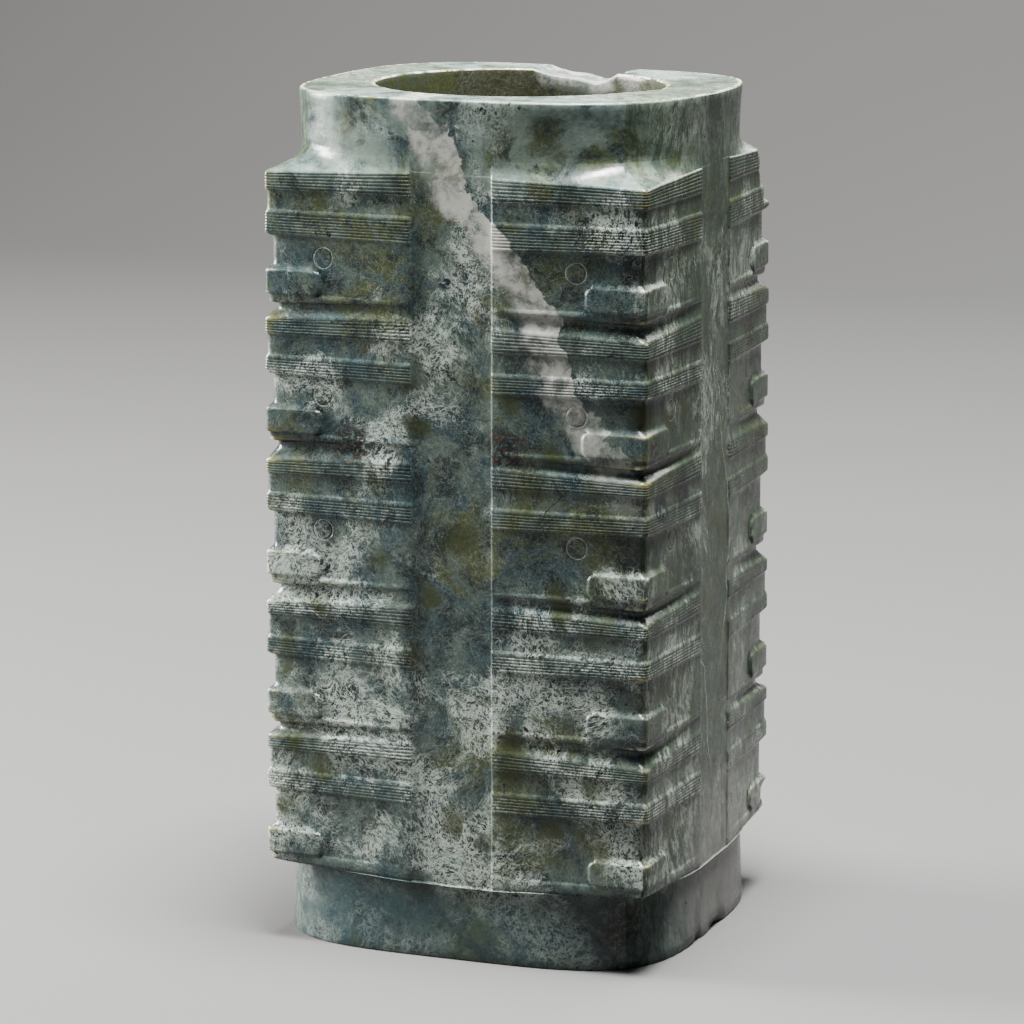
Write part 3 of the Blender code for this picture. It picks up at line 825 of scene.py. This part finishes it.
def stone_mesh(shape):
    """The carved stone: the grid, with a round patch for the ring of each eye."""
    curves = Curves(shape.edge_softness)
    grid, numbers, (columns, levels, start) = stone_grid(curves, shape)
    quads = grid_faces(*grid.shape[:2])
    kept = np.ones(grid.shape[:2], dtype=bool)
    points = [grid.reshape(-1, 3)]
    numbers = {label: [values.ravel()] for label, values in numbers.items()}
    triangles, rings = [], []
    first = len(points[0])
    for eye in itertools.product(range(4), (0, 1), range(TIER_COUNT - 1)):
        if eye[0] == BACK_RIGHT and eye[2] == 0:
            continue
        cells, more, proud, mark, thin, square = eye_patch(curves, shape, columns, levels, start, first, eye)
        kept[cells] = False
        points.append(more)
        for label, values in (("edge", proud / EDGE_UNIT), ("line", -mark), ("fresh", 0 * mark)):
            numbers[label].append(values)
        triangles.append(thin)
        rings.append(square)
        first += len(more)
    squares = np.concatenate([quads[kept]] + rings)
    triangles = np.concatenate(triangles)
    used, index = np.unique(np.concatenate((squares.ravel(), triangles.ravel())), return_inverse=True)
    faces = index[:squares.size].reshape(-1, 4).tolist() + index[squares.size:].reshape(-1, 3).tolist()
    numbers = {label: np.concatenate(values)[used] for label, values in numbers.items()}
    return make_mesh("jade_stone", np.concatenate(points)[used].tolist(), faces, numbers)


class NodeBoard:
    """Adds nodes to a tree and joins them, so that a material reads from top to bottom."""

    def __init__(self, tree):
        self.tree = tree
        tree.nodes.clear()

    def put(self, socket, value):
        """Join an output to a socket, or set the socket's own value."""
        if isinstance(value, bpy.types.NodeSocket):
            self.tree.links.new(value, socket)
        else:
            socket.default_value = value

    def add(self, kind, settings=None, **sockets):
        """Add a node, set its settings, and set or join its named sockets."""
        node = self.tree.nodes.new(kind)
        for name, value in (settings or {}).items():
            setattr(node, name, value)
        for name, value in sockets.items():
            self.put(node.inputs[name.replace("_", " ")], value)
        return node

    def filled(self, kind, settings, *values):
        """Add a node and fill its sockets in their order."""
        node = self.add(kind, settings)
        for socket, value in zip(node.inputs, values):
            self.put(socket, value)
        return node

    def math(self, operation, *values):
        """A simple operation on one or two numbers."""
        return self.filled("ShaderNodeMath", {"operation": operation}, *values).outputs[0]

    def vector(self, operation, *values):
        """An operation on vectors."""
        return self.filled("ShaderNodeVectorMath", {"operation": operation}, *values)

    def plus(self, first, second):
        """The sum of two numbers."""
        return self.math("ADD", first, second)

    def less(self, first, second):
        """The first number less the second."""
        return self.math("SUBTRACT", first, second)

    def times(self, first, second):
        """The product of two numbers."""
        return self.math("MULTIPLY", first, second)

    def larger(self, first, second):
        """The larger of two numbers."""
        return self.math("MAXIMUM", first, second)

    def span(self, value, start, stop, low=0.0, high=1.0):
        """A smooth rise from low to high as a value goes from start to stop."""
        settings = {"interpolation_type": "SMOOTHSTEP"}
        return self.filled("ShaderNodeMapRange", settings, value, start, stop, low, high).outputs[0]

    def blend(self, share, first, second):
        """A mix of two colours."""
        node = self.add("ShaderNodeMix", {"data_type": "RGBA"})
        for name, value in (("Factor", share), ("A", first), ("B", second)):
            self.put(node.inputs[name], value)
        return node.outputs["Result"]

    def noise(self, place, scale, detail, rough, bend=0.0):
        """The node of a noise pattern."""
        return self.add("ShaderNodeTexNoise", None, Vector=place, Scale=scale, Detail=detail, Roughness=rough,
                        Distortion=bend)

    def placed(self, place, move=(0, 0, 0), stretch=(1, 1, 1)):
        """Moved and stretched coordinates."""
        node = self.add("ShaderNodeMapping", None, Vector=place, Location=move, Scale=stretch)
        return node.outputs["Vector"]

    def patches(self, place, grain, start, stop, low=0.0, high=1.0):
        """A smooth rise over a part of a noise's values; its grain is its scale, detail and roughness."""
        return self.span(self.noise(place, *grain).outputs["Fac"], start, stop, low, high)

    def attribute(self, name):
        """A named number of the mesh."""
        return self.add("ShaderNodeAttribute", {"attribute_name": name}).outputs["Fac"]


# Centres and reaches of the places where rust sits in pits, and of the blue-black spots
RUST_PLACES = (
    ((-0.026, -0.0495, 0.130), 0.0075),
    ((0.015, -0.0495, 0.132), 0.0080),
    ((0.0520, -0.0430, 0.134), 0.0045),
    ((0.0525, -0.0260, 0.121), 0.0070),
    ((0.0535, 0.0380, 0.121), 0.0080),
    ((0.0530, 0.0300, 0.152), 0.0060),
    ((0.044, -0.0430, 0.011), 0.0090),
)
SPOT_PLACES = (
    ((0.0525, -0.0385, 0.1180), 0.0065),
    ((0.0530, -0.0230, 0.1190), 0.0050),
    ((0.0445, -0.0455, 0.2075), 0.0022),
    ((-0.0010, -0.0490, 0.1730), 0.0030),
)
# Thin breaks in the stone: a point on each, the way its plane looks, how far it runs, and whether it is pale
CRACKS = (
    ((-0.004, -0.0500, 0.1500), (0.28, 0.0, 0.96), 0.013, False),
    ((0.006, -0.0500, 0.1400), (0.10, 0.0, 0.99), 0.010, False),
    ((0.0290, -0.0500, 0.1190), (-0.80, 0.0, 0.60), 0.012, False),
    ((0.0530, 0.0060, 0.1300), (0.0, 0.97, 0.22), 0.030, True),
    ((0.0530, 0.0100, 0.0900), (0.0, 0.98, -0.16), 0.026, True),
    ((0.0530, -0.0060, 0.0600), (0.0, 0.96, 0.28), 0.022, True),
)
# Scale and turn of each layer of felted fibres
FIBRE_LAYERS = (
    (2000.0, (0.3, 0.8, 0.2)),
    (2200.0, (1.2, -0.9, 1.5)),
    (2100.0, (2.1, 1.2, 2.6)),
    (2400.0, (0.7, 0.4, 0.9)),
)
WEB_SCALES = (330.0, 760.0)
SPECULAR_FRONT = 0.14
SPECULAR_SIDE = 0.05


def fibre_layer(board, place, scale, turn):
    """Short fibres: noise that is stretched along one turned direction, kept where it is bright."""
    field = board.add("ShaderNodeMapping", {"vector_type": "TEXTURE"}, Vector=place, Rotation=turn,
                      Location=(scale * 0.013, scale * 0.007, 0.4), Scale=(7.0, 1.0, 1.0)).outputs["Vector"]
    return board.patches(field, (scale, 2.0, 0.5, 0.25), 0.60, 0.72, 0.0, 0.42)


def web_layer(board, place, scale, width):
    """A ragged web: 1 along the middle value of a noise, over a width that changes from place to place."""
    field = board.noise(place, scale, 5.0, 0.66).outputs["Fac"]
    gap = board.math("ABSOLUTE", board.less(field, 0.5))
    return board.span(gap, board.times(width, 0.35), width, 1.0, 0.0)


def near_point(board, place, centre, reach):
    """1 at a point and 0 beyond a reach from it."""
    gap = board.vector("DISTANCE", place, centre).outputs["Value"]
    return board.span(gap, reach * 0.35, reach, 1.0, 0.0)


def near_any(board, place, places):
    """The largest of near_point over several places."""
    share = 0.0
    for centre, reach in places:
        share = board.larger(share, near_point(board, place, centre, reach))
    return share


def crack(board, place, bend, centre, way, reach):
    """1 within a tenth of a millimetre of a bent plane, near a point on it."""
    tilt = board.vector("DOT_PRODUCT", place, way).outputs["Value"]
    middle = sum(one * two for one, two in zip(centre, way))
    gap = board.plus(board.less(tilt, middle), bend)
    thin = board.span(board.math("ABSOLUTE", gap), 0.00006, 0.00020, 1.0, 0.0)
    return board.times(thin, near_point(board, place, centre, reach))


def centred_noise(board, place, scale, detail, height):
    """Noise that swings evenly about nought, with a given height."""
    field = board.noise(place, scale, detail, 0.6).outputs["Fac"]
    return board.times(board.less(field, 0.5), height)


def pale_band(board, place, parts):
    """The pale vein: a slab that leans across the front from the rim's left to the right corner.

    Its mask is the distance from the slab's middle plane, bent by noise, and it ends below the third band.
    """
    bend = centred_noise(board, place, 55.0, 3.0, 0.020)
    bend = board.plus(bend, centred_noise(board, place, 420.0, 3.0, 0.0045))
    along = board.plus(board.times(parts["X"], 0.86), board.times(parts["Z"], 0.51))
    gap = board.plus(board.less(along, 0.1025), bend)
    mask = board.times(board.span(gap, 0.0036, 0.0042, 1.0, 0.0), board.span(gap, -0.0062, -0.0024))
    mask = board.times(mask, board.span(parts["Z"], 0.108, 0.150))
    return board.times(mask, board.span(parts["Y"], -0.026, -0.036, 0.0, 1.0))


def bent_place(board, place, scale, reach, start):
    """Coordinates pushed about by noise."""
    push = board.noise(place, scale, 2.0, 0.5).outputs["Color"]
    return board.vector("MULTIPLY_ADD", push, (reach, reach, reach), start).outputs[0]


def sides_drawn_out(board, place, parts):
    """Coordinates that are drawn out upwards on the two side faces, split along the corners' diagonals."""
    facing = board.less(board.math("ABSOLUTE", parts["X"]), board.math("ABSOLUTE", parts["Y"]))
    side = board.math("GREATER_THAN", facing, 0.0028)
    node = board.add("ShaderNodeMix", {"data_type": "VECTOR"})
    board.put(node.inputs["Factor"], side)
    board.put(node.inputs[4], place)
    board.put(node.inputs[5], board.placed(place, stretch=(1.0, 1.0, 0.26)))
    return node.outputs[1], side


def ground_colour(board, finish, slow, parts):
    """Blue-green and grey-green, with olive and near-black clouds, and olive-brown in the bore, kept very dark
    there as painted shade.
    """
    tone = board.patches(slow, (75.0, 6.0, 0.62), 0.42, 0.60)
    colour = board.blend(tone, finish.deep, finish.ground)
    olive = board.patches(board.placed(slow, move=(0.5, 0.2, 0.8)), (48.0, 6.0, 0.66), 0.51, 0.62, 0.0, 0.85)
    colour = board.blend(olive, colour, finish.olive)
    dark = board.patches(board.placed(slow, move=(0.3, 0.1, 0.2)), (140.0, 6.0, 0.70), 0.47, 0.60, 0.0, 0.9)
    colour = board.blend(dark, colour, finish.dark)
    squares = [board.math("POWER", parts[name], 2.0) for name in ("X", "Y")]
    across = board.math("SQRT", board.plus(*squares))
    # Inside the bore the colour goes to the bore colour: partly the wall's olive-brown, partly painted shade
    # inside the bore.
    inside = board.span(across, BORE_MOUTH_RADIUS + 0.0001, BORE_MOUTH_RADIUS + 0.0005, 0.94, 0.0)
    return board.blend(inside, colour, finish.bore), inside


def web_share(board, drawn, parts, dense):
    """How much white growth covers the ground: two webs and felted fibres, less of both near rim and foot.

    Where the growth is sparse it is a web of thin threads; where it is dense only dark grains are left.
    """
    width = board.span(dense, 0.0, 1.0, 0.008, 0.046)
    share = web_layer(board, drawn, WEB_SCALES[0], width)
    moved = board.placed(drawn, move=(0.31, 0.17, 0.05))
    finer = web_layer(board, moved, WEB_SCALES[1], board.times(width, 0.9))
    share = board.larger(share, board.times(finer, 0.85))
    for scale, turn in FIBRE_LAYERS:
        share = board.larger(share, fibre_layer(board, drawn, scale, turn))
    share = board.times(share, board.span(dense, 0.0, 1.0, 0.22, 0.72))
    share = board.times(share, board.span(parts["Z"], 0.188, 0.203, 1.0, 0.5))
    return board.times(share, board.span(parts["Z"], 0.014, 0.024, 0.45, 1.0))


def grown_colour(board, finish, colour, places, parts, side, inside):
    """Pale haze and white growth, the round windows that it leaves open, and its dark grains.

    The growth is dense in broad clouds, with more of them low down and on the side faces.
    """
    slow, drawn = places
    outside = board.less(1.0, inside)
    cloud = board.noise(board.placed(slow, move=(0.7, 0.4, 0.1)), 36.0, 6.0, 0.62).outputs["Fac"]
    cloud = board.plus(cloud, board.span(parts["Z"], 0.020, 0.190, 0.035, -0.045))
    cloud = board.plus(cloud, board.times(side, 0.035))
    dense = board.times(board.span(cloud, 0.43, 0.64), outside)
    haze = board.patches(board.placed(drawn, move=(0.1, 0.9, 0.5)), (120.0, 6.0, 0.70), 0.46, 0.66)
    haze = board.times(haze, board.span(dense, 0.0, 1.0, 0.04, 0.62))
    collar = board.patches(slow, (95.0, 6.0, 0.65), 0.40, 0.58, 0.0, 0.55)
    haze = board.larger(haze, board.times(collar, board.span(parts["Z"], 0.192, 0.202)))
    colour = board.blend(board.times(haze, outside), colour, finish.cloud)
    colour = board.blend(web_share(board, drawn, parts, dense), colour, finish.fibre)

    cells = board.add("ShaderNodeTexVoronoi", None, Vector=slow, Scale=85.0)
    chance = board.add("ShaderNodeSeparateColor", None, Color=cells.outputs["Color"]).outputs[0]
    window = board.span(cells.outputs["Distance"], 0.10, 0.46, 1.0, 0.0)
    window = board.times(window, board.span(chance, 0.66, 0.70))
    window = board.times(window, board.span(parts["Z"], 0.15, 0.17, 0.8, 0.2))
    colour = board.blend(window, colour, finish.window)

    grains = board.patches(drawn, (1050.0, 3.0, 0.6), 0.57, 0.64)
    grains = board.times(grains, board.span(dense, 0.2, 0.9, 0.15, 0.85))
    return board.blend(grains, colour, finish.dark)


def side_colour(board, finish, colour, places, parts, side):
    """The side faces' upright dark streaks and olive cast, which also darkens them as painted shade; the dark
    foot, partly painted shadow under the blocks; and pale stone low on the right.
    """
    slow, quick = places
    upright = board.placed(quick, move=(0.2, 0.2, 0.2), stretch=(1.0, 1.0, 0.12))
    streak = board.patches(upright, (420.0, 3.0, 0.66), 0.49, 0.60, 0.0, 0.75)
    colour = board.blend(board.times(streak, side), colour, finish.deep)
    # Olive cast on the side faces; partly their own colour, partly painted shade that darkens them.
    colour = board.blend(board.times(side, 0.42), colour, finish.olive)
    # Darker towards the foot: partly the foot's own dark blue-green, partly painted shadow under the blocks'
    # overhang.
    colour = board.blend(board.span(parts["Z"], 0.014, 0.023, 0.45, 0.0), colour, finish.deep)
    pale = near_point(board, slow, (0.066, 0.012, 0.018), 0.042)
    upright = board.placed(quick, stretch=(1.0, 1.0, 0.2))
    streak = board.patches(upright, (150.0, 4.0, 0.65), 0.38, 0.60, 0.25, 0.9)
    return board.blend(board.times(pale, streak), colour, finish.smooth)


def marked_colour(board, finish, colour, place):
    """Near-black spots, small in loose clusters and large and ragged, rust in pits, and cracks."""
    cluster = board.patches(place, (45.0, 2.0, 0.5), 0.45, 0.62)
    spots = board.patches(place, (640.0, 2.0, 0.5), 0.66, 0.71)
    colour = board.blend(board.times(spots, cluster), colour, finish.spot)
    ragged = board.patches(place, (330.0, 4.0, 0.7), 0.47, 0.50)
    colour = board.blend(board.times(near_any(board, place, SPOT_PLACES), ragged), colour, finish.spot)

    pits = board.patches(place, (620.0, 3.0, 0.7), 0.46, 0.51)
    rusty = board.times(near_any(board, place, RUST_PLACES), pits)
    flecks = board.patches(place, (1500.0, 2.0, 0.5), 0.45, 0.65)
    colour = board.blend(rusty, colour, board.blend(flecks, finish.dark, finish.rust))

    bend = centred_noise(board, place, 70.0, 2.0, 0.010)
    bend = board.plus(bend, centred_noise(board, place, 600.0, 2.0, 0.0012))
    for centre, way, reach, light in CRACKS:
        thin = board.times(crack(board, place, bend, centre, way, reach), 0.55 if light else 0.85)
        colour = board.blend(thin, colour, finish.fibre if light else finish.dark)
    return colour


def wear_and_painted_light_colour(board, finish, colour, place):
    """Marks of use and painted light: an ochre glow painted where the stone is thin, pale worn edges that also
    serve as painted highlights, painted shade in the hollows and fine lines, a painted highlight along the
    eyes' rings, and dull broken places.

    The mesh says where: "edge" is how proud a point stands, "line" how deep it lies in a fine line, or less
    than nought in an eye's ring, and "fresh" is 1 where stone has broken away.
    """
    edge = board.attribute("edge")
    # Painted glow: ochre on thin proud edges, with more at the front right top corner, standing in for light
    # shining through the stone there.
    corner = near_point(board, place, (0.0500, -0.0480, BLOCK_TOP - 0.002), 0.012)
    patch = board.larger(board.patches(place, (60.0, 3.0, 0.5), 0.48, 0.60, 0.05, 0.8), corner)
    ochre = board.times(board.span(edge, 0.20, 0.90), patch)
    colour = board.blend(board.times(ochre, 0.85), colour, finish.ochre)
    # Pale worn edges on proud points; partly wear, partly painted highlights on the ledges and shoulders.
    worn = board.patches(place, (380.0, 4.0, 0.7), 0.44, 0.60)
    worn = board.times(worn, board.span(edge, 0.45, 1.0, 0.0, 0.8))
    colour = board.blend(worn, colour, finish.pale_wear_and_highlight)

    # Painted shade: points lying below their surroundings are darkened, standing in for the shade in the
    # carved hollows and under the bands.
    colour = board.blend(board.span(edge, -0.15, -1.1, 0.0, 0.8), colour, finish.dark)
    line = board.attribute("line")
    # Painted shade at the bottoms of the fine lines.
    colour = board.blend(board.span(line, 0.0, 1.0, 0.0, 0.42), colour, finish.dark)
    # Painted highlight along the grooves of the eyes' rings, in the pale worn-edge colour.
    colour = board.blend(board.span(line, 0.0, -1.0, 0.0, 0.55), colour, finish.pale_wear_and_highlight)
    fresh = board.attribute("fresh")
    crushed = board.blend(board.patches(place, (260.0, 4.0, 0.7), 0.40, 0.60), finish.ground, finish.broken)
    return board.blend(board.times(fresh, 0.85), colour, crushed), fresh


def jade_material(finish):
    """Nephrite: dark blue-green and olive clouds, felted white growth, a pale band, ochre painted on thin
    edges as a glow, and painted shade and highlights in the carving.
    """
    material = bpy.data.materials.new("jade")
    material.use_nodes = True
    board = NodeBoard(material.node_tree)
    place = board.add("ShaderNodeTexCoord").outputs["Object"]
    parts = board.add("ShaderNodeSeparateXYZ", None, Vector=place).outputs

    # Every pattern is read through a slow bend and a quick one, so that none runs straight
    slow = bent_place(board, place, 40.0, 0.014, place)
    quick = bent_place(board, place, 320.0, 0.0018, slow)
    drawn, side = sides_drawn_out(board, quick, parts)
    colour, inside = ground_colour(board, finish, slow, parts)
    colour = grown_colour(board, finish, colour, (slow, drawn), parts, side, inside)
    colour = side_colour(board, finish, colour, (slow, quick), parts, side)

    # The pale band keeps a little of the growth under it
    patchy = board.patches(quick, (170.0, 5.0, 0.68), 0.38, 0.58, 0.15, 0.84)
    colour = board.blend(board.times(pale_band(board, quick, parts), patchy), colour, finish.band)
    colour = marked_colour(board, finish, colour, place)
    colour, fresh = wear_and_painted_light_colour(board, finish, colour, place)

    rough = board.patches(place, (240.0, 2.0, 0.6), 0.3, 0.7, 0.20, 0.34)
    rough = board.plus(rough, board.times(fresh, 0.35))
    grain = board.noise(place, 700.0, 2.0, 0.6).outputs["Fac"]
    bump = board.add("ShaderNodeBump", None, Height=grain, Strength=0.12, Distance=0.0004)
    polish = board.span(side, 0.0, 1.0, SPECULAR_FRONT, SPECULAR_SIDE)
    shader = board.add("ShaderNodeBsdfPrincipled", None, Base_Color=colour, Roughness=rough, IOR=1.61,
                       Normal=bump.outputs["Normal"], Specular_IOR_Level=polish)
    out = board.add("ShaderNodeOutputMaterial")
    board.put(out.inputs["Surface"], shader.outputs["BSDF"])
    return material


def plain_material(name, colour, roughness):
    """A flat studio surface."""
    material = bpy.data.materials.new(name)
    material.use_nodes = True
    shader = material.node_tree.nodes["Principled BSDF"]
    shader.inputs["Base Color"].default_value = colour
    shader.inputs["Roughness"].default_value = roughness
    return material


def aim(thing, target):
    """Turn a light or the camera so that it looks at a point."""
    way = thing.location - target
    thing.rotation_euler = way.to_track_quat("Z", "Y").to_euler()


def soft_light(name, place, target, size, power, colour):
    """A square soft box that looks at a point."""
    lamp = bpy.data.lights.new(name, "AREA")
    lamp.shape = "RECTANGLE"
    lamp.size, lamp.size_y = size
    lamp.energy = power
    lamp.color = colour
    thing = bpy.data.objects.new(name, lamp)
    thing.location = place
    bpy.context.collection.objects.link(thing)
    aim(thing, target)
    return thing


LENGTH = {"precision": 5, "subtype": "DISTANCE", "unit": "LENGTH"}
COLOUR = {"size": 4, "min": 0.0, "max": 1.0, "subtype": "COLOR"}
POWER = {"min": 0.0, "max": 500.0, "subtype": "POWER", "unit": "POWER"}

# Where each light stands, its width and height, and its colour
LIGHTS = {
    "key": ((-1.20, -0.14, 0.52), (0.40, 0.80), (1.0, 0.985, 0.96)),
    "top": ((0.11, -0.07, 1.25), (0.40, 0.40), (1.0, 1.0, 1.0)),
    "fill": ((0.62, 0.0, 1.10), (0.3, 0.4), (0.96, 0.98, 1.0)),
    "back": ((0.26, 1.25, 0.64), (0.6, 0.3), (1.0, 1.0, 1.0)),
}


class CongShape(bpy.types.PropertyGroup):
    """Sizes of the fine carving."""

    line_pitch: bpy.props.FloatProperty(
        name="Line pitch", description="Distance between fine lines", default=0.00080, min=0.0004,
        max=0.002, **LENGTH)
    line_width: bpy.props.FloatProperty(
        name="Line width", description="Width of a fine line from lip to lip", default=0.00040, min=0.0001,
        max=0.001, **LENGTH)
    line_depth: bpy.props.FloatProperty(
        name="Line depth", description="Depth of a fine line where it is least worn", default=0.00016,
        min=0.0, max=0.0005, **LENGTH)
    edge_softness: bpy.props.FloatProperty(
        name="Edge softness", description="Width of the blur that rounds the carved edges", default=0.00013,
        min=0.00005, max=0.0006, **LENGTH)
    surface_wander: bpy.props.FloatProperty(
        name="Surface wander", description="How far the hand-ground faces stray from flat", default=0.00012,
        min=0.0, max=0.0006, **LENGTH)


class CongFinish(bpy.types.PropertyGroup):
    """Colours of the stone, some of which also serve as painted shade, highlights and glow."""

    ground: bpy.props.FloatVectorProperty(
        name="Ground", description="Grey-green ground of the stone", default=(0.036, 0.050, 0.042, 1.0),
        **COLOUR)
    deep: bpy.props.FloatVectorProperty(
        name="Deep", description="Dark blue-green ground", default=(0.012, 0.024, 0.027, 1.0), **COLOUR)
    olive: bpy.props.FloatVectorProperty(
        name="Olive", description="Olive clouds", default=(0.027, 0.032, 0.011, 1.0), **COLOUR)
    # Dark: near-black clouds, and also the painted shade in the fine lines and the carved hollows.
    dark: bpy.props.FloatVectorProperty(
        name="Dark", description="Near-black clouds and dirt in the lines",
        default=(0.005, 0.009, 0.009, 1.0), **COLOUR)
    fibre: bpy.props.FloatVectorProperty(
        name="Fibre", description="Felted white fibres", default=(0.325, 0.36, 0.32, 1.0), **COLOUR)
    cloud: bpy.props.FloatVectorProperty(
        name="Cloud", description="Pale grey clouds", default=(0.115, 0.150, 0.130, 1.0), **COLOUR)
    band: bpy.props.FloatVectorProperty(
        name="Band", description="Pale cream band across the front", default=(0.26, 0.262, 0.235, 1.0),
        **COLOUR)
    spot: bpy.props.FloatVectorProperty(
        name="Spot", description="Small blue-black spots", default=(0.006, 0.01, 0.014, 1.0), **COLOUR)
    rust: bpy.props.FloatVectorProperty(
        name="Rust", description="Rust in the pits", default=(0.036, 0.017, 0.010, 1.0), **COLOUR)
    # Ochre: painted glow of light through the thin proud edges.
    ochre: bpy.props.FloatVectorProperty(
        name="Ochre", description="Golden stone at thin edges", default=(0.135, 0.118, 0.022, 1.0),
        **COLOUR)
    broken: bpy.props.FloatVectorProperty(
        name="Broken", description="Dull stone on broken places", default=(0.15, 0.14, 0.13, 1.0), **COLOUR)
    window: bpy.props.FloatVectorProperty(
        name="Window", description="Round olive windows in the white growth",
        default=(0.020, 0.024, 0.007, 1.0), **COLOUR)
    # Bore: olive-brown, kept very dark as painted shade inside the bore.
    bore: bpy.props.FloatVectorProperty(
        name="Bore", description="Olive-brown wall of the bore", default=(0.014, 0.0135, 0.0055, 1.0),
        **COLOUR)
    smooth: bpy.props.FloatVectorProperty(
        name="Smooth", description="Smooth pale stone low on the right", default=(0.090, 0.085, 0.080, 1.0),
        **COLOUR)
    # Pale worn edges, which also serve as painted highlights on proud edges and along the eyes' rings.
    pale_wear_and_highlight: bpy.props.FloatVectorProperty(
        name="Chip", description="Bruised pale edges", default=(0.42, 0.42, 0.36, 1.0), **COLOUR)


class CongStudio(bpy.types.PropertyGroup):
    """The studio."""

    key_power: bpy.props.FloatProperty(
        name="Key power", description="Power of the large soft light at the left", default=175.0, **POWER)
    fill_power: bpy.props.FloatProperty(
        name="Fill power", description="Power of the soft light high at the right", default=1.5, **POWER)
    back_power: bpy.props.FloatProperty(
        name="Back power", description="Power of the strip of light high up behind", default=14.0, **POWER)
    top_power: bpy.props.FloatProperty(
        name="Top power", description="Power of the soft light overhead", default=200.0, **POWER)
    floor_colour: bpy.props.FloatVectorProperty(
        name="Floor", description="Colour of the floor", default=(0.040, 0.0395, 0.0385, 1.0), **COLOUR)


class CONG_OT_carve_stone(bpy.types.Operator):
    """Carve the stone and give it its nephrite"""

    bl_idname = "cong.carve_stone"
    bl_label = "Carve the stone"

    def execute(self, context):
        shape = context.scene.cong_shape
        mesh = stone_mesh(shape)
        if not len(mesh.polygons):
            raise RuntimeError("the stone has no faces")
        mesh.materials.append(jade_material(context.scene.cong_finish))
        stone = bpy.data.objects.new("jade_stone", mesh)
        context.collection.objects.link(stone)
        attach(stone, "root")
        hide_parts("cong")
        return {"FINISHED"}


class CONG_OT_set_stage(bpy.types.Operator):
    """Make the pale floor, the soft lights and the camera"""

    bl_idname = "cong.set_stage"
    bl_label = "Set the stage"

    def execute(self, context):
        studio = context.scene.cong_studio
        self.make_floor(studio)
        self.make_lights(context, studio)
        self.make_camera(context)
        return {"FINISHED"}

    def make_floor(self, studio):
        """A sheet that curves up behind the stone: flat, then a quarter circle, then a wall."""
        turn = np.linspace(0.0, np.pi / 2, 25)
        bend, start = 0.5, 1.1
        y = np.concatenate(([-2.6], start + bend * np.sin(turn), [start + bend]))
        z = np.concatenate(([0.0], bend * (1 - np.cos(turn)), [2.6]))
        x = np.array((-3.0, 3.0))
        points = np.array([(side, back, up) for back, up in zip(y, z) for side in x])
        first = 2 * np.arange(len(y) - 1)
        faces = np.stack((first, first + 1, first + 3, first + 2), axis=-1)
        mesh = bpy.data.meshes.new("studio_floor")
        mesh.from_pydata(points.tolist(), [], faces.tolist())
        mesh.shade_smooth()
        mesh.materials.append(plain_material("studio_paper", tuple(studio.floor_colour), 0.9))
        floor = bpy.data.objects.new("studio_floor", mesh)
        bpy.context.collection.objects.link(floor)
        floor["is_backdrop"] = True

    def make_lights(self, context, studio):
        """A large key at the left, lights overhead and high behind, a weak fill and a dim even sky."""
        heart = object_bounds()[0].lerp(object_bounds()[1], 0.5)
        for name, (place, size, colour) in LIGHTS.items():
            power = getattr(studio, name + "_power")
            soft_light(name + "_light", type(heart)(place), heart, size, power, colour)
        world = bpy.data.worlds.new("studio_air")
        world.use_nodes = True
        sky = world.node_tree.nodes["Background"]
        sky.inputs["Color"].default_value = (0.9, 0.93, 1.0, 1.0)
        sky.inputs["Strength"].default_value = 0.08
        context.scene.world = world

    def make_camera(self, context):
        """The camera stands 1.11 m off, 21 degrees to the right of the front and looks down by 11 degrees."""
        distance, height = 1.105594, 0.326014
        swing, tilt, pan = 0.367475, 0.196052, 0.0025092
        lens = bpy.data.cameras.new("camera")
        lens.sensor_width = 36.0
        lens.lens = 152.80
        lens.clip_start, lens.clip_end = 0.05, 20.0
        camera = bpy.data.objects.new("camera", lens)
        camera.location = (distance * math.sin(swing) + BODY_SHIFT, -distance * math.cos(swing), height)
        camera.rotation_euler = (math.pi / 2 - tilt, 0.0, swing + pan)
        context.collection.objects.link(camera)
        context.scene.camera = camera


class CONG_PT_panel(bpy.types.Panel):
    """The cong's sizes, colours and studio"""

    bl_idname = "CONG_PT_panel"
    bl_label = "Jade Cong"
    bl_space_type = "VIEW_3D"
    bl_region_type = "UI"
    bl_category = "Cong"

    def draw(self, context):
        for group in (context.scene.cong_shape, context.scene.cong_finish, context.scene.cong_studio):
            box = self.layout.box()
            for name in group.__annotations__:
                box.prop(group, name)
        self.layout.operator(CONG_OT_carve_stone.bl_idname)
        self.layout.operator(CONG_OT_set_stage.bl_idname)


CLASSES = (CongShape, CongFinish, CongStudio, CONG_OT_carve_stone, CONG_OT_set_stage, CONG_PT_panel)


def register():
    for cls in CLASSES:
        bpy.utils.register_class(cls)
    bpy.types.Scene.cong_shape = bpy.props.PointerProperty(type=CongShape)
    bpy.types.Scene.cong_finish = bpy.props.PointerProperty(type=CongFinish)
    bpy.types.Scene.cong_studio = bpy.props.PointerProperty(type=CongStudio)


def unregister():
    del bpy.types.Scene.cong_studio
    del bpy.types.Scene.cong_finish
    del bpy.types.Scene.cong_shape
    for cls in reversed(CLASSES):
        bpy.utils.unregister_class(cls)


def main():
    """Register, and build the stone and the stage."""
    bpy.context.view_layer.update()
    register()
    bpy.ops.cong.carve_stone()
    bpy.ops.cong.set_stage()


if __name__ == "__main__":
    main()
